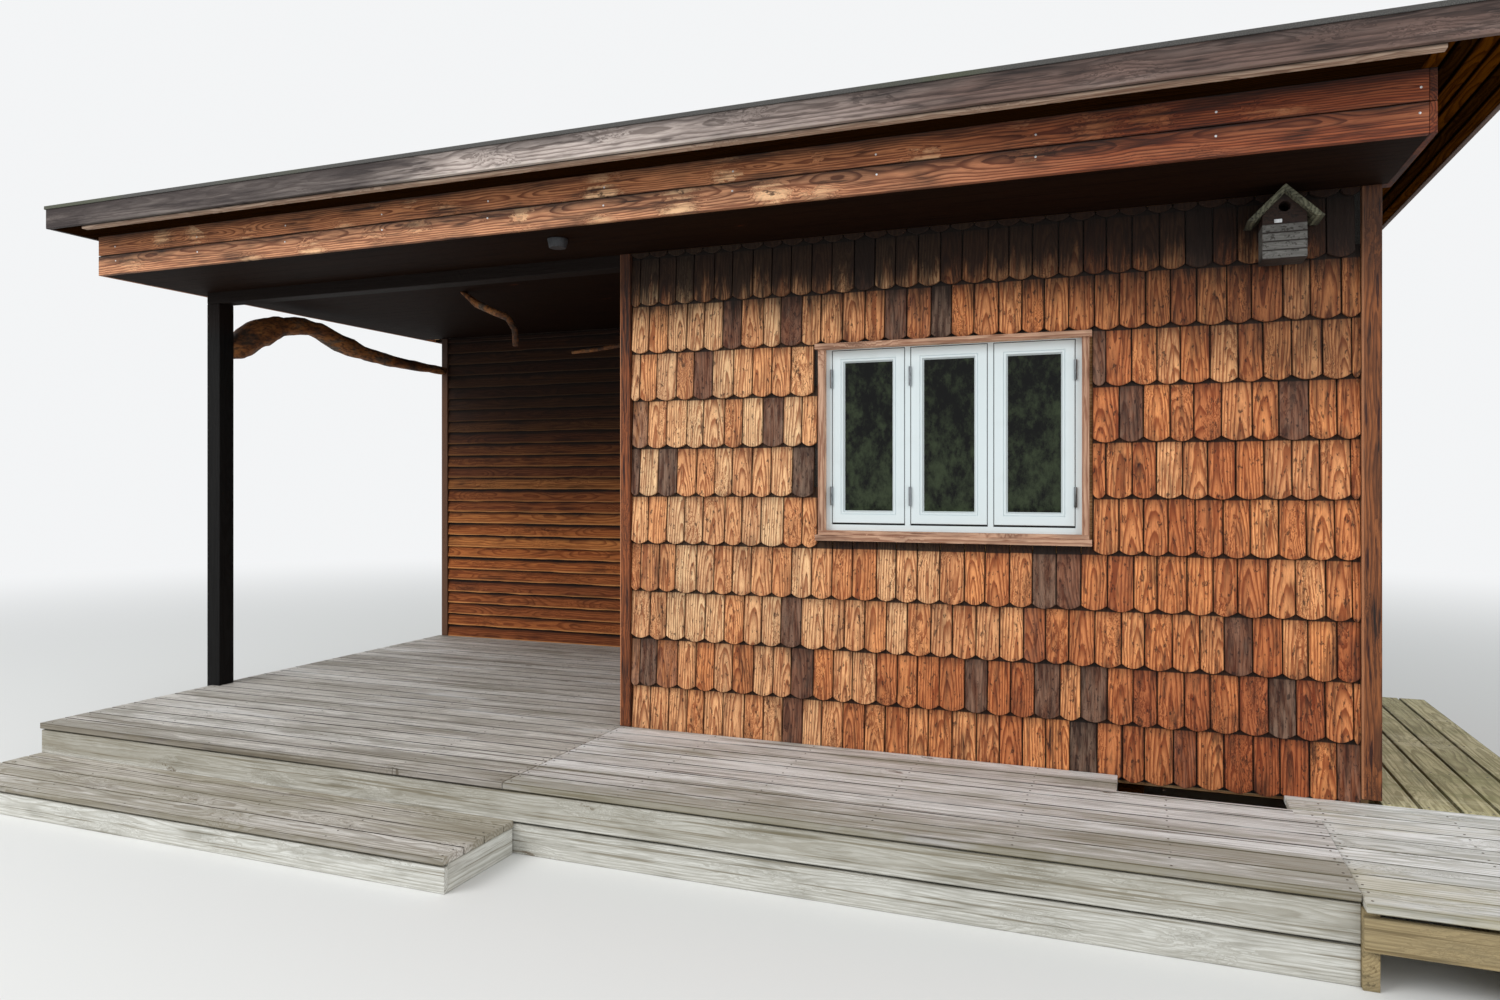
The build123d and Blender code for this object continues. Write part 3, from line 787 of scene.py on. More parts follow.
@dataclass(frozen=True)
class Limb(Finish):
    """Peeled pine limb, orange-brown with grey and dark weather."""

    tones: str
    places: Sequence[float]
    dark: str

    def build(self) -> Material:
        """Makes the material.

        Returns:
            The material.
        """
        s = Shader(self.name)
        x, y, z = s.place()
        coarse = s.cloud(x * 9, y * 4, z * 9, 4.0, 0.6)
        fine = s.cloud(x * 70, y * 22, z * 70, 4.0, 0.65)
        colour = s.ramp(coarse, self.tones, self.places)
        colour = s.mix(fine.ease(0.45, 0.62) * 0.75, colour, self.dark)
        height = coarse * 0.6 + fine * 0.4
        return s.surface(height, 0.009, Base_Color=colour, Roughness=0.7 + fine * 0.15)


SHINGLE = ShingleWood(
    "shingle_wood", "shingle", "FFD8A6 FFC48C F4A466 D88650 B8683C 805A44 6E5244",
    places=(0.0, 0.3, 0.55, 0.75, 0.88, 0.94, 1.0), late="906248", stain="241410", flush_depth=0.4,
    stain_depth=0.95, ring=0.011, ring_depth=0.85, figure=0.07, streak_depth=0.85, fibre_depth=0.4,
    knot_share=0.4, rim_dark=0.5, butt_dark=0.15, dry=(2.24, 2.48), dry_depth=0.94,
    dry_tint="120905", gloss=0.25,
)
# Porch-wall boards: painted shade under each lap and up towards the porch roof, and a painted highlight
# along each lower edge.
LAPPED = Wood(
    "lapped_board_wood", "lap_board", "E29450 C8763C 96542C", late="8A6048", stain="1A0C06",
    halo="F6AE68", lip_light=0.75, head=(0.0, 0.6), head_dark=1.1, rim_dark=0.0, stain_depth=0.8,
    stain_from=0.46, dry=(0.75, 2.1), dry_depth=0.95, gloss=0.2,
)
# Fascia boards with painted shade on their upper parts; the grey ones also get a painted highlight along
# their lower edges.
FASCIA = FasciaWood(
    "brown_fascia_wood", "brown_board", "E4A67C CE8A5C AE6C42", late="744C36", stain="1A0E08",
    knot="3A2014", knot_share=0.4, knot_rate=5.0, halo_depth=0.8, stain_depth=0.95, stain_from=0.44,
    ring=0.009, ring_depth=0.85, head=(0.1, 1.0), head_dark=0.7, figure=0.1, right_x=(0.3, 2.1),
    right_depth=0.9,
)
GREY = FasciaWood(
    "grey_fascia_wood", "grey_board", "CCBEB6 B2A49C 98887E", late="6A5C56", stain="2A201E",
    knot="2A201A", stain_depth=0.9, stain_from=0.44, head=(-0.3, 1.0), head_dark=0.6, halo="DCD0C6",
    lip_light=0.5, figure=0.08, knot_share=0.4, streak_run=5.0, left_depth=0.9, right_depth=1.0,
    deep="94807A", soot_depth=0.35,
)
# Its painted shade towards the roof is a thin dark line along its top: the shadow under the fascia.
BATTEN = Wood(
    "drip_batten_wood", "brown_board", "C8AE98 B49A86", late="8E7464", stain="4A382C", knot_share=0.2,
    dry=(2.802, 2.81), dry_depth=0.95,
)
# Very dark wood, its tones lowered further to paint the shade under the roof.
SOFFIT = Wood(
    "soffit_wood", "soffit_board", "24140A 150B05", late="7A6458", stain="0C0604", knot_share=0.2,
    groove=0.098, groove_open=0.05, gloss=0.05,
)
SLATS = Wood(
    "eave_slat_wood", "soffit_board", "5A3206 3A2005 1E1004", late="7A6458", stain="0A0502",
    knot_share=0.2, rim_from=0.7, rim_dark=0.8, gloss=0.0,
)
# Corner boards: painted shade towards the roof and deep under the porch roof, and a painted highlight
# along one edge.
TRIM = CornerWood(
    "corner_trim_wood", "brown_board", "BC7642 A86032 904C24", late="583420", stain="160A06",
    knot_share=0.45, stain_depth=1.0, stain_from=0.42, halo="F0A878", lip_light=0.6, figure=0.05,
    streak_depth=1.0, streak_run=5.0, fibre_depth=0.7, dry=(2.1, 2.5), dry_depth=0.7,
)
CASING = Wood(
    "casing_wood", "brown_board", "F2C6A6 DCA888", late="946E56", stain="3E2418", stain_depth=0.8,
    figure=0.06, streak_run=6.0,
)
# Dark stained posts and beams, with painted shade on the beam and the top of the post under the roof.
DARK = Wood(
    "dark_stained_wood", "dark_stain", "141312 0C0B0B", late="8A8078", stain="060505", knot_share=0.2,
    roughness=0.7, gloss=0.15, dry=(2.3, 2.45), dry_depth=0.8,
)
DECK = DeckWood(
    "grooved_deck_wood", "deck_timber", "FBF8F2 ECE7DF D6D0C6", late="8E8680", stain="3E3832",
    knot="6E6252", groove=0.0075, groove_dark=0.5, stain_depth=0.4, streak_run=0.9, streak_depth=1.0,
    rim_from=0.9, rim_dark=1.0, edge_share=0.25, ring_depth=0.45, figure=0.06, dirt_depth=0.6,
)
WALK = DeckWood(
    "walkway_deck_wood", "deck_timber", "FFFEFC FAF7F4 E8E4E0", late="948C84", stain="4A443A",
    knot="6E5A44", groove=0.0075, groove_dark=0.45, streak_run=0.9, streak_depth=1.0, rim_from=0.9,
    rim_dark=1.1, edge_share=0.3, ring_depth=0.4, figure=0.06, dirt="7C7458", dirt_depth=0.6,
)
STEP = DeckWood(
    "step_deck_wood", "deck_timber", "E4E0DA CCC6BC", late="968C80", stain="3A342C", knot_share=0.5,
    knot="5E5240", stain_depth=0.4, streak_run=1.2, rim_from=0.95, rim_dark=1.8, edge_share=0.25,
    figure=0.05, dirt="847C64", dirt_depth=0.5,
)
PALE_DECK = DeckWood(
    "pale_deck_wood", "deck_timber", "FAFAF8 F0F0EC DEDEDA", late="A8A69C", stain="5A584C",
    knot_share=0.5, knot="7A6850", rim_from=0.93, rim_dark=1.2, edge_share=0.3, figure=0.08,
    dirt="B0A684", dirt_depth=0.5,
)
MOSS_DECK = DeckWood(
    "mossy_deck_wood", "deck_timber", "D6CEA6 C4BC90 AEA87E", late="9A9478", stain="3E4228",
    knot_share=0.35, stain_depth=0.5, rim_from=0.9, rim_dark=1.2, edge_share=0.3, figure=0.06,
    dirt="7C7C4C", bleach="E0D8B8", bleach_depth=0.3,
)
RISER = RiserWood(
    "riser_wood", "deck_timber", "E0E0DA D2D1CA C0BEB2 B8A684 AE9A72", places=(0.0, 0.4, 0.78, 0.95, 1.0),
    late="A09888", stain="5E5844", knot_share=0.45, knot="6A5C48", ring=0.01, ring_depth=0.45,
    figure=0.035, streak_depth=0.9, streak_run=1.4, stain_depth=0.7, stain_from=0.46,
)
PLAIN = Wood(
    "plain_pine", "plain_board", "D2AE80 BE986A", late="C09A74", stain="8A6A48", stain_depth=0.15,
)
NEST = NestWood(
    "nest_box_wood", "grey_board", "7E7C78 6A6864 3E261A 2C1A12", places=(0.0, 0.2, 0.6, 1.0),
    late="78726A", stain="241C18", knot_share=0.0, ring=0.006, ring_depth=0.4, streak_run=60.0,
    streak_depth=0.9, rim_from=0.7, rim_dark=1.0,
)
LICHEN = Wood(
    "lichen_grey_wood", "grey_board", "84836C 6E6D5A", late="5E5A48", stain="16140E", stain_depth=1.0,
    stain_from=0.4, knot_share=0.0, streak_run=45.0, streak_depth=1.0, rim_from=0.8, rim_dark=0.8,
)
LIMB = Limb(
    "peeled_limb", "bare_limb", "33200F 7A4820 96602E 5E4E40", (0.36, 0.47, 0.56, 0.64), "24160C",
)
WHITE = Paint("white_window_paint", "white_paint", "D6E0E2", "B4BEBC")
GLASS = Glass("dark_window_glass", "window_glass", "040504", "323B28")
STEEL = Metal("hinge_steel", "hinge_steel", "84898C", "54585A")
SCREW = Metal("screw_steel", "hinge_steel", "7A746A", "4A4238")
NAIL = Metal("nail_steel", "hinge_steel", "E4E6E8", "A8A8A8", 0.3)
LAMP = Metal("lamp_shell", "lamp_shell", "303236", "232325", 0.0, 0.5)
# Black for the window seals, and for the strips that paint the shadow under the sashes.
SEAL_AND_DRIP_SHADOW = Metal("window_seal", "roof_felt", "0A0B0B", "141515", 0.0, 0.8)
FELT = Felt("roof_felt", "roof_felt", "3C3B3A", "4C5238")
# A near-black sheet behind the shingles: painted shade in their joints.
JOINT_SHADE_SHEET = Felt("building_shade_sheet", "roof_felt", "16120F", "1E1712")


@contextmanager
def editing(mesh: Mesh, source: Optional[Mesh] = None) -> Iterator[Draft]:
    """Opens a mesh for edits and writes it back at the end.

    Args:
        mesh: The mesh.
        source: Where its shape is read, if that isn't the mesh itself.

    Yields:
        Its editable shape.
    """
    shape = bmesh.new()
    shape.from_mesh(source or mesh)
    yield shape
    shape.to_mesh(mesh)
    shape.free()


@dataclass
class Loft:
    """A row of rings of as many points each, skinned; closed joins the last to the first."""

    rings: Sequence[Sequence[Point]]
    closed: bool = False

    def draw(self, shape: Draft) -> None:
        """Draws the skin.

        Args:
            shape: The shape it is added to.
        """
        drawn = [[shape.verts.new(p) for p in ring] for ring in self.rings]
        pairs = list(zip(drawn, drawn[1:]))
        if self.closed:
            pairs.append((drawn[-1], drawn[0]))
        for one, two in pairs:
            for i in range(len(one)):
                k = (i + 1) % len(one)
                shape.faces.new((one[i], one[k], two[k], two[i]))
        if not self.closed:
            shape.faces.new(drawn[0])
            shape.faces.new(list(reversed(drawn[-1])))


def box(low: Point, high: Point) -> Loft:
    """A closed box between two corners."""
    ring = ((low[0], low[1]), (high[0], low[1]), (high[0], high[1]), (low[0], high[1]))
    return Loft([[(x, y, z) for x, y in ring] for z in (low[2], high[2])])


def worn(shape: Draft, bevel: float) -> None:
    """Takes the arrises off.

    Args:
        shape: The shape in hand.
        bevel: How much comes off, in metres.
    """
    least_angle = 0.6
    if bevel > 0:
        sharp = [e for e in shape.edges if e.is_manifold and e.calc_face_angle() > least_angle]
        bmesh.ops.bevel(
            shape, geom=sharp, offset=bevel, segments=2, profile=0.5, affect="EDGES", clamp_overlap=True,
        )


def made(name: str, lofts: Iterable[Loft], bevel: float = 0.0) -> Mesh:
    """A mesh of lofts with its faces turned outwards.

    Args:
        name: Its name.
        lofts: What it is made of.
        bevel: How much comes off its arrises, in metres.

    Returns:
        The mesh.
    """
    mesh = bpy.data.meshes.new(name)
    with editing(mesh) as shape:
        for loft in lofts:
            loft.draw(shape)
        worn(shape, bevel)
        bmesh.ops.recalc_face_normals(shape, faces=shape.faces)
    return mesh


def split_at(shape: Draft, point: Point, way: Point, clear: bool = False) -> list[bmesh.types.BMEdge]:
    """Cuts a shape along a plane.

    Args:
        shape: The shape in hand.
        point: A point of the plane.
        way: The way that the plane faces.
        clear: True where what lies before the plane goes.

    Returns:
        The edges that lie in the plane.
    """
    parts = [*shape.verts, *shape.edges, *shape.faces]
    cut = bmesh.ops.bisect_plane(shape, geom=parts, plane_co=point, plane_no=way, clear_outer=clear)
    return [e for e in cut["geom_cut"] if isinstance(e, bmesh.types.BMEdge)]


def trim_top(mesh: Mesh, level: float) -> None:
    """Cuts off what stands above a level, and closes the cut."""
    with editing(mesh) as shape:
        bmesh.ops.holes_fill(shape, edges=split_at(shape, (0, 0, level), (0, 0, 1), clear=True))


def standing(corner: Point, turn: float) -> Matrix:
    """What moves a wall's skin to its corner, turned by so many degrees."""
    return Matrix.Translation(corner) @ Matrix.Rotation(math.radians(turn), 4, "Z")


class Axis(Enum):
    """The way a board's grain runs."""

    LONGEST = -1
    X = 0
    Y = 1
    Z = 2


@dataclass
class Part:
    """A sub-assembly that puts its finished pieces in the scene."""

    seed: int = 7

    def build(self) -> None:
        """Builds the sub-assembly."""
        raise NotImplementedError

    def show(
        self, name: str, mesh: Mesh, finish: Finish, nodes: Sequence[str] = (),
        axis: Axis = Axis.LONGEST, slot: str = "",
    ) -> None:
        """Puts one piece in the scene.

        Args:
            name: The piece's name.
            mesh: Its shape, in place.
            finish: Its finish.
            nodes: The solids it stands for.
            axis: The way its grain runs, where it is of wood.
            slot: The record's material slot, where it isn't the finish's own; not used.
        """
        piece = bpy.data.objects.new(name, mesh)
        bpy.context.scene.collection.objects.link(piece)
        mesh.materials.clear()
        mesh.materials.append(material(finish))
        if isinstance(finish, Wood):
            self.grain(mesh, axis)
        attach(piece, "root")
        if nodes:
            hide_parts(*nodes)
        log.info("%s: %d faces", name, len(mesh.polygons))

    def grain(self, mesh: Mesh, axis: Axis) -> None:
        """Writes where each point lies on its own board.

        Args:
            mesh: One or many boards that don't share points.
            axis: The way the grain runs.
        """
        count = len(mesh.vertices)
        dice = random.Random(self.seed + count)
        grain, spot, shade = [0.0] * (3 * count), [0.0] * (3 * count), [0.0] * count
        longest_shift, thinnest = 40, 1e-6
        for board in self.islands(mesh):
            low, high = self.corners(mesh, board)
            span = [h - l for l, h in zip(low, high)]
            order = sorted(range(3), key=lambda k: -span[k])
            if axis is not Axis.LONGEST:
                order.remove(axis.value)
                order.insert(0, axis.value)
            shift, tone = dice.uniform(0, longest_shift), dice.random()
            size = [max(span[k], thinnest) for k in order]
            for i in board:
                at = [mesh.vertices[i].co[k] - low[k] for k in order]
                grain[3 * i:3 * i + 3] = at[0] + shift, at[1] - size[1] / 2, at[2] - size[2] / 2
                spot[3 * i:3 * i + 3] = at[0], 2 * at[1] / size[1] - 1, 2 * at[2] / size[2] - 1
                shade[i] = tone
        mesh.attributes.new("grain", "FLOAT_VECTOR", "POINT").data.foreach_set("vector", grain)
        mesh.attributes.new("spot", "FLOAT_VECTOR", "POINT").data.foreach_set("vector", spot)
        mesh.attributes.new("shade", "FLOAT", "POINT").data.foreach_set("value", shade)

    @staticmethod
    def islands(mesh: Mesh) -> list[list[int]]:
        """The points of each part of a mesh that hangs together.

        Args:
            mesh: The mesh.

        Returns:
            A list of point numbers for each part.
        """
        parent = list(range(len(mesh.vertices)))

        def find(i: int) -> int:
            """Follows the links from a point, and shortens them on the way.

            Args:
                i: The point's number.

            Returns:
                The number of the point that stands for its part so far.
            """
            while parent[i] != i:
                parent[i] = parent[parent[i]]
                i = parent[i]
            return i

        for edge in mesh.edges:
            a, b = (find(v) for v in edge.vertices)
            parent[a] = b
        parts: dict[int, list[int]] = {}
        for i in range(len(parent)):
            parts.setdefault(find(i), []).append(i)
        return list(parts.values())

    @staticmethod
    def corners(mesh: Mesh, board: Sequence[int]) -> tuple[list[float], list[float]]:
        """The low and the high corner of some points of a mesh."""
        spots = [mesh.vertices[i].co for i in board]
        return [min(p[k] for p in spots) for k in range(3)], [max(p[k] for p in spots) for k in range(3)]

    @staticmethod
    def solid(node: str, bevel: float, suffix: str = "_dressed") -> Mesh:
        """A CAD node's shape with its arrises taken off.

        Args:
            node: The node.
            bevel: How much comes off, in metres.
            suffix: What the mesh's name adds to the node's.

        Returns:
            The mesh.
        """
        same_spot, same_plane = 1e-5, math.radians(0.5)
        mesh = bpy.data.meshes.new(node + suffix)
        with editing(mesh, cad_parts[node].data) as shape:
            bmesh.ops.remove_doubles(shape, verts=shape.verts, dist=same_spot)
            bmesh.ops.dissolve_limit(
                shape, angle_limit=same_plane, verts=shape.verts, edges=shape.edges
            )
            worn(shape, bevel)
        return mesh

    def dress(
        self, node: str, finish: Finish, bevel: float = 0.0, axis: Axis = Axis.LONGEST,
        suffix: str = "_dressed", slot: str = "",
    ) -> None:
        """Shows a node's own shape with worn arrises and a finish.

        Args:
            node: The CAD node.
            finish: Its finish.
            bevel: How much comes off the arrises, in metres.
            axis: The way the grain runs.
            suffix: What the piece's name adds to the node's.
            slot: The record's material slot, where it isn't the finish's own.
        """
        self.show(node + suffix, self.solid(node, bevel, suffix), finish, [node], axis, slot)


class Recipe(Graph):
    """A Geometry Nodes tree that repeats one shape and ends in a real mesh."""

    def __init__(self, name: str, shape: Loft) -> None:
        """Makes the empty tree and the shape.

        Args:
            name: The tree's name.
            shape: What it repeats.
        """
        super().__init__(bpy.data.node_groups.new(name, "GeometryNodeTree"))
        self.tree.interface.new_socket("Geometry", in_out="OUTPUT", socket_type="NodeSocketGeometry")
        self.source = self.tree.nodes.new("NodeGroupInput")
        self.keys: dict[str, str] = {}
        self.seed = self.input("Seed", "Int")
        self.shape = bpy.data.objects.new(name + "_shape", made(name + "_shape", [shape]))
        self.index = self.wire("GeometryNodeInputIndex")

    def input(self, name: str, kind: str = "Float") -> Wire:
        """Adds a named input.

        Args:
            name: Its name.
            kind: What it holds.

        Returns:
            Its value inside the tree.
        """
        item = self.tree.interface.new_socket(name, in_out="INPUT", socket_type="NodeSocket" + kind)
        self.keys[name] = item.identifier
        return Wire(self, next(s for s in self.source.outputs if s.identifier == item.identifier))

    def random(self, low: float, high: float, key: Wire, seed: Value) -> Wire:
        """A number that stays the same for the same key."""
        sockets = {"Min": low, "Max": high, "ID": key, "Seed": seed}
        return self.wire("FunctionNodeRandomValue", {"data_type": "FLOAT"}, sockets)

    def move(self, geometry: Wire, **sockets: Setting) -> Wire:
        """Geometry moved to its Position or by its Offset."""
        return self.wire("GeometryNodeSetPosition", {}, {"Geometry": geometry, **sockets})

    def spread(self, points: Wire, **sockets: Setting) -> Wire:
        """Lays copies of the shape.

        Args:
            points: Where they go.
            sockets: Their Scale and Rotation, where these aren't the shape's own.

        Returns:
            The copies as real geometry.
        """
        source = self.wire("GeometryNodeObjectInfo", {}, {"Object": self.shape}, "Geometry")
        copies = self.wire("GeometryNodeInstanceOnPoints", {}, {
            "Points": points, "Instance": source, **sockets})
        return self.wire("GeometryNodeRealizeInstances", {}, {"Geometry": copies})

    def end(self, geometry: Wire) -> None:
        """Closes the tree."""
        result = self.tree.nodes.new("NodeGroupOutput")
        self.tree.links.new(geometry.socket, result.inputs["Geometry"])

    def run(self, values: dict[str, object]) -> Mesh:
        """Grows the geometry.

        Args:
            values: A value for each named input.

        Returns:
            The finished mesh, with no modifier left.
        """
        holder = bpy.data.objects.new("holder", bpy.data.meshes.new("holder"))
        bpy.context.scene.collection.objects.link(holder)
        modifier = holder.modifiers.new("grow", "NODES")
        modifier.node_group = self.tree
        for name, value in values.items():
            modifier[self.keys[name]] = value
        bpy.context.view_layer.update()
        grown = holder.evaluated_get(bpy.context.evaluated_depsgraph_get())
        mesh = bpy.data.meshes.new_from_object(grown)
        holder.modifiers.clear()
        bpy.data.objects.remove(holder)
        return mesh


class ShingleCourses(Recipe):
    """Courses of shingles with staggered, uneven joints."""

    ROW_KEY = 1000
    SPARE_COLUMNS = 3
    NARROWEST = 0.018
    NUDGE = 0.0001

    def __init__(self, shape: Loft) -> None:
        """Writes the tree.

        Args:
            shape: One shingle, a metre wide.
        """
        super().__init__("shingle_courses", shape)
        exposure, gap = self.input("Exposure"), self.input("Gap")
        courses, first = self.input("Courses", "Int"), self.input("First course", "Int")
        self.length, self.pitch = self.input("Length"), self.input("Pitch")
        self.uneven = self.input("Unevenness")
        columns = (self.length / self.pitch).whole() + self.SPARE_COLUMNS
        points = self.wire("GeometryNodePoints", {}, {"Count": columns * courses})
        row = (self.index / columns + self.NUDGE).whole()
        column = self.index - row * columns
        start, end = self.joint(column, row + first), self.joint(column + 1, row + first)
        width = end - start - gap
        key = column + (row + first) * self.ROW_KEY
        drop = self.random(-0.5, 0.5, key, self.seed + 11) * self.uneven
        lean = self.random(-0.5, 0.5, key, self.seed + 23) * self.uneven
        place = self.vector((start + end) / 2, 0.0, row * exposure + drop * 0.5)
        named = self.wire("GeometryNodeStoreNamedAttribute", {"data_type": "FLOAT"}, {
            "Geometry": points, "Name": "shingle_width", "Value": width})
        narrow = self.wire("FunctionNodeCompare", {"data_type": "FLOAT", "operation": "LESS_THAN"}, {
            "A": width, "B": self.NARROWEST})
        kept = self.wire("GeometryNodeDeleteGeometry", {"domain": "POINT"}, {
            "Geometry": self.move(named, Position=place), "Selection": narrow})
        told = self.wire("GeometryNodeInputNamedAttribute", {"data_type": "FLOAT"}, {
            "Name": "shingle_width"}, "Attribute")
        self.end(self.spread(
            kept, Scale=self.vector(told, 1.0, 1.0), Rotation=self.vector(0.0, lean * 0.9, 0.0)))

    def joint(self, column: Wire, row: Wire) -> Wire:
        """Where the joint to the left of a shingle lies.

        Args:
            column: The shingle's number in its course.
            row: The course's number.

        Returns:
            The joint's place along the course.
        """
        stray = self.random(-1.0, 1.0, column + row * self.ROW_KEY, self.seed) * self.uneven
        half = (row * 0.5).part()
        return ((column - 1 + half) * self.pitch + stray).most(0.0).least(self.length)


class LappedBoards(Recipe):
    """Horizontal boards that lap, with waney lower edges and chance butt joints."""

    JOINT = 0.002
    NUDGE = 0.001
    CUT_SHARE = (0.25, 0.75)
    SLACK = 0.2
    WAVES = 5
    NEXT_WAVE = 3.7

    def __init__(self, shape: Loft) -> None:
        """Writes the tree.

        Args:
            shape: One board, a metre long.
        """
        super().__init__("lapped_boards", shape)
        length, exposure, wane = (self.input(name) for name in ("Length", "Exposure", "Wane"))
        courses, share = self.input("Courses", "Int"), self.input("Boards per course", "Int")
        points = self.wire("GeometryNodePoints", {}, {"Count": courses * share})
        row = (self.index / share + self.NUDGE).whole()
        second = self.index - row * share
        cut = length * (1 - (share - 1) * self.random(*self.CUT_SHARE, row, self.seed))
        width = cut + second * (length - cut * 2) - self.JOINT
        middle = cut * 0.5 * (1 - second) + second * (cut + length) * 0.5
        slip = self.random(-0.5, 0.5, row + second * 50, self.seed + 5) * wane
        placed = self.move(points, Position=self.vector(middle, 0.0, row * exposure + slip))
        boards = self.spread(placed, Scale=self.vector(width, 1.0, 1.0))
        x, _, z = self.split(self.wire("GeometryNodeInputPosition"))
        level = (z / exposure + self.SLACK).whole()
        wave = self.wire("ShaderNodeTexNoise", {}, {
            "Vector": self.vector(x * self.WAVES, level * self.NEXT_WAVE, 0.0), "Scale": 1.0,
            "Detail": 2.0}, "Fac")
        low = (z / exposure - level + self.SLACK).ease(0.6, 0.1)
        self.end(self.move(boards, Offset=self.vector(0.0, 0.0, (wave - 0.5) * wane * low * 2)))


class Fixings(Recipe):
    """Screw and nail heads, one at each point of a mesh."""

    def __init__(self, shape: Loft) -> None:
        """Writes the tree.

        Args:
            shape: One head, facing up.
        """
        super().__init__("fixings", shape)
        places, stray = self.input("Places", "Object"), self.input("Stray")
        spots = self.wire("GeometryNodeObjectInfo", {}, {"Object": places}, "Geometry")
        points = self.wire("GeometryNodeMeshToPoints", {}, {"Mesh": spots})
        aside = (self.random(-1.0, 1.0, self.index, self.seed + k) * stray for k in (0, 1))
        self.end(self.spread(self.move(points, Offset=self.vector(*aside, 0.0))))


@dataclass
class ShingleWall(Part):
    """The shingled front and right walls."""

    exposure: float = 0.232
    overlap: float = 0.045
    thickness: float = 0.015
    fall: float = 0.016
    proud: float = 0.030
    round: float = 0.019
    round_steps: int = 8
    arris: float = 0.0016
    pitch: float = 0.098
    gap: float = 0.0045
    unevenness: float = 0.008
    bottom: float = 0.252
    paper: float = 0.002
    window_courses: tuple[int, int] = (4, 8)
    top_courses: int = 3
    front_seed: int = 3
    right_seed: int = 21

    def shingle(self) -> Loft:
        """One shingle a metre wide: a leaning slab with a round butt.

        Returns:
            The slab.
        """
        steps, top = self.round_steps, self.exposure + self.overlap
        outline = [(-0.5 + i / steps, self.round * (2 * i / steps - 1) ** 2) for i in range(steps + 1)]
        outline += [(0.5, top), (-0.5, top)]
        rings = []
        for inset, back in ((self.arris, 0), (0, self.arris), (0, self.thickness)):
            ring = []
            for x, z in outline:
                z_in = z + (inset if z < top / 2 else -inset)
                face = -self.proud + self.fall * z_in / self.exposure
                ring.append((x * (1 - 2 * inset / self.pitch), face + back, z_in))
            rings.append(ring)
        return Loft(rings)

    def panel(
        self, tree: ShingleCourses, place: Matrix, top: float, length: float,
        courses: int, first: int, seed: int,
    ) -> Mesh:
        """Courses of shingles on one rectangle of a wall.

        Args:
            tree: The tree that lays them.
            place: What moves them to their wall.
            top: The level that they are cut off at.
            length: How long the courses are.
            courses: How many there are.
            first: The lowest course's number, which sets its stagger.
            seed: What the unevenness starts from.

        Returns:
            The mesh.
        """
        mesh = tree.run({
            "Length": length, "Courses": courses, "First course": first, "Exposure": self.exposure,
            "Pitch": self.pitch, "Gap": self.gap, "Unevenness": self.unevenness, "Seed": seed,
        })
        mesh.transform(place)
        trim_top(mesh, top)
        return mesh

    def build(self) -> None:
        """Lays the shingles on both walls, with a dark sheet behind their joints that paints the shade in
        them.
        """
        tree = ShingleCourses(self.shingle())
        low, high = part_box("front_shingles")
        hole_low, hole_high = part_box("window_casing")
        start, end = self.window_courses
        spans = (
            (0, start, low.x, high.x), (start, end - start, low.x, hole_low.x),
            (start, end - start, hole_high.x, high.x), (end, self.top_courses, low.x, high.x),
        )
        mesh, shade_sheets = bpy.data.meshes.new("front_shingle_courses"), []
        with editing(mesh) as shape:
            for seed, (first, courses, left, right) in enumerate(spans, self.front_seed):
                foot = self.bottom + first * self.exposure
                place = standing((left, high.y, foot), 0)
                shape.from_mesh(self.panel(tree, place, high.z, right - left, courses, first, seed))
                head, back = min(foot + courses * self.exposure, high.z), high.y - self.paper
                # A dark sheet behind these courses paints the shade in their joints.
                shade_sheets.append(box((left, back, foot), (right, high.y - self.paper / 4, head)))
        self.show("front_shingle_courses", mesh, SHINGLE, ["front_shingles"], Axis.Z)
        self.show("front_paper", made("front_paper", shade_sheets), JOINT_SHADE_SHEET)
        low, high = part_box("right_shingles")
        courses = math.ceil((high.z - self.bottom) / self.exposure)
        place = standing((low.x, low.y, self.bottom), 90)
        mesh = self.panel(tree, place, high.z, high.y - low.y, courses, 1, self.right_seed)
        self.show("right_shingle_courses", mesh, SHINGLE, ["right_shingles"], Axis.Z)
        # The same dark sheet of painted shade on the right wall.
        shade_sheets = [box((low.x + self.paper / 4, low.y, low.z), (low.x + self.paper, high.y, high.z))]
        self.show("right_paper", made("right_paper", shade_sheets), JOINT_SHADE_SHEET)


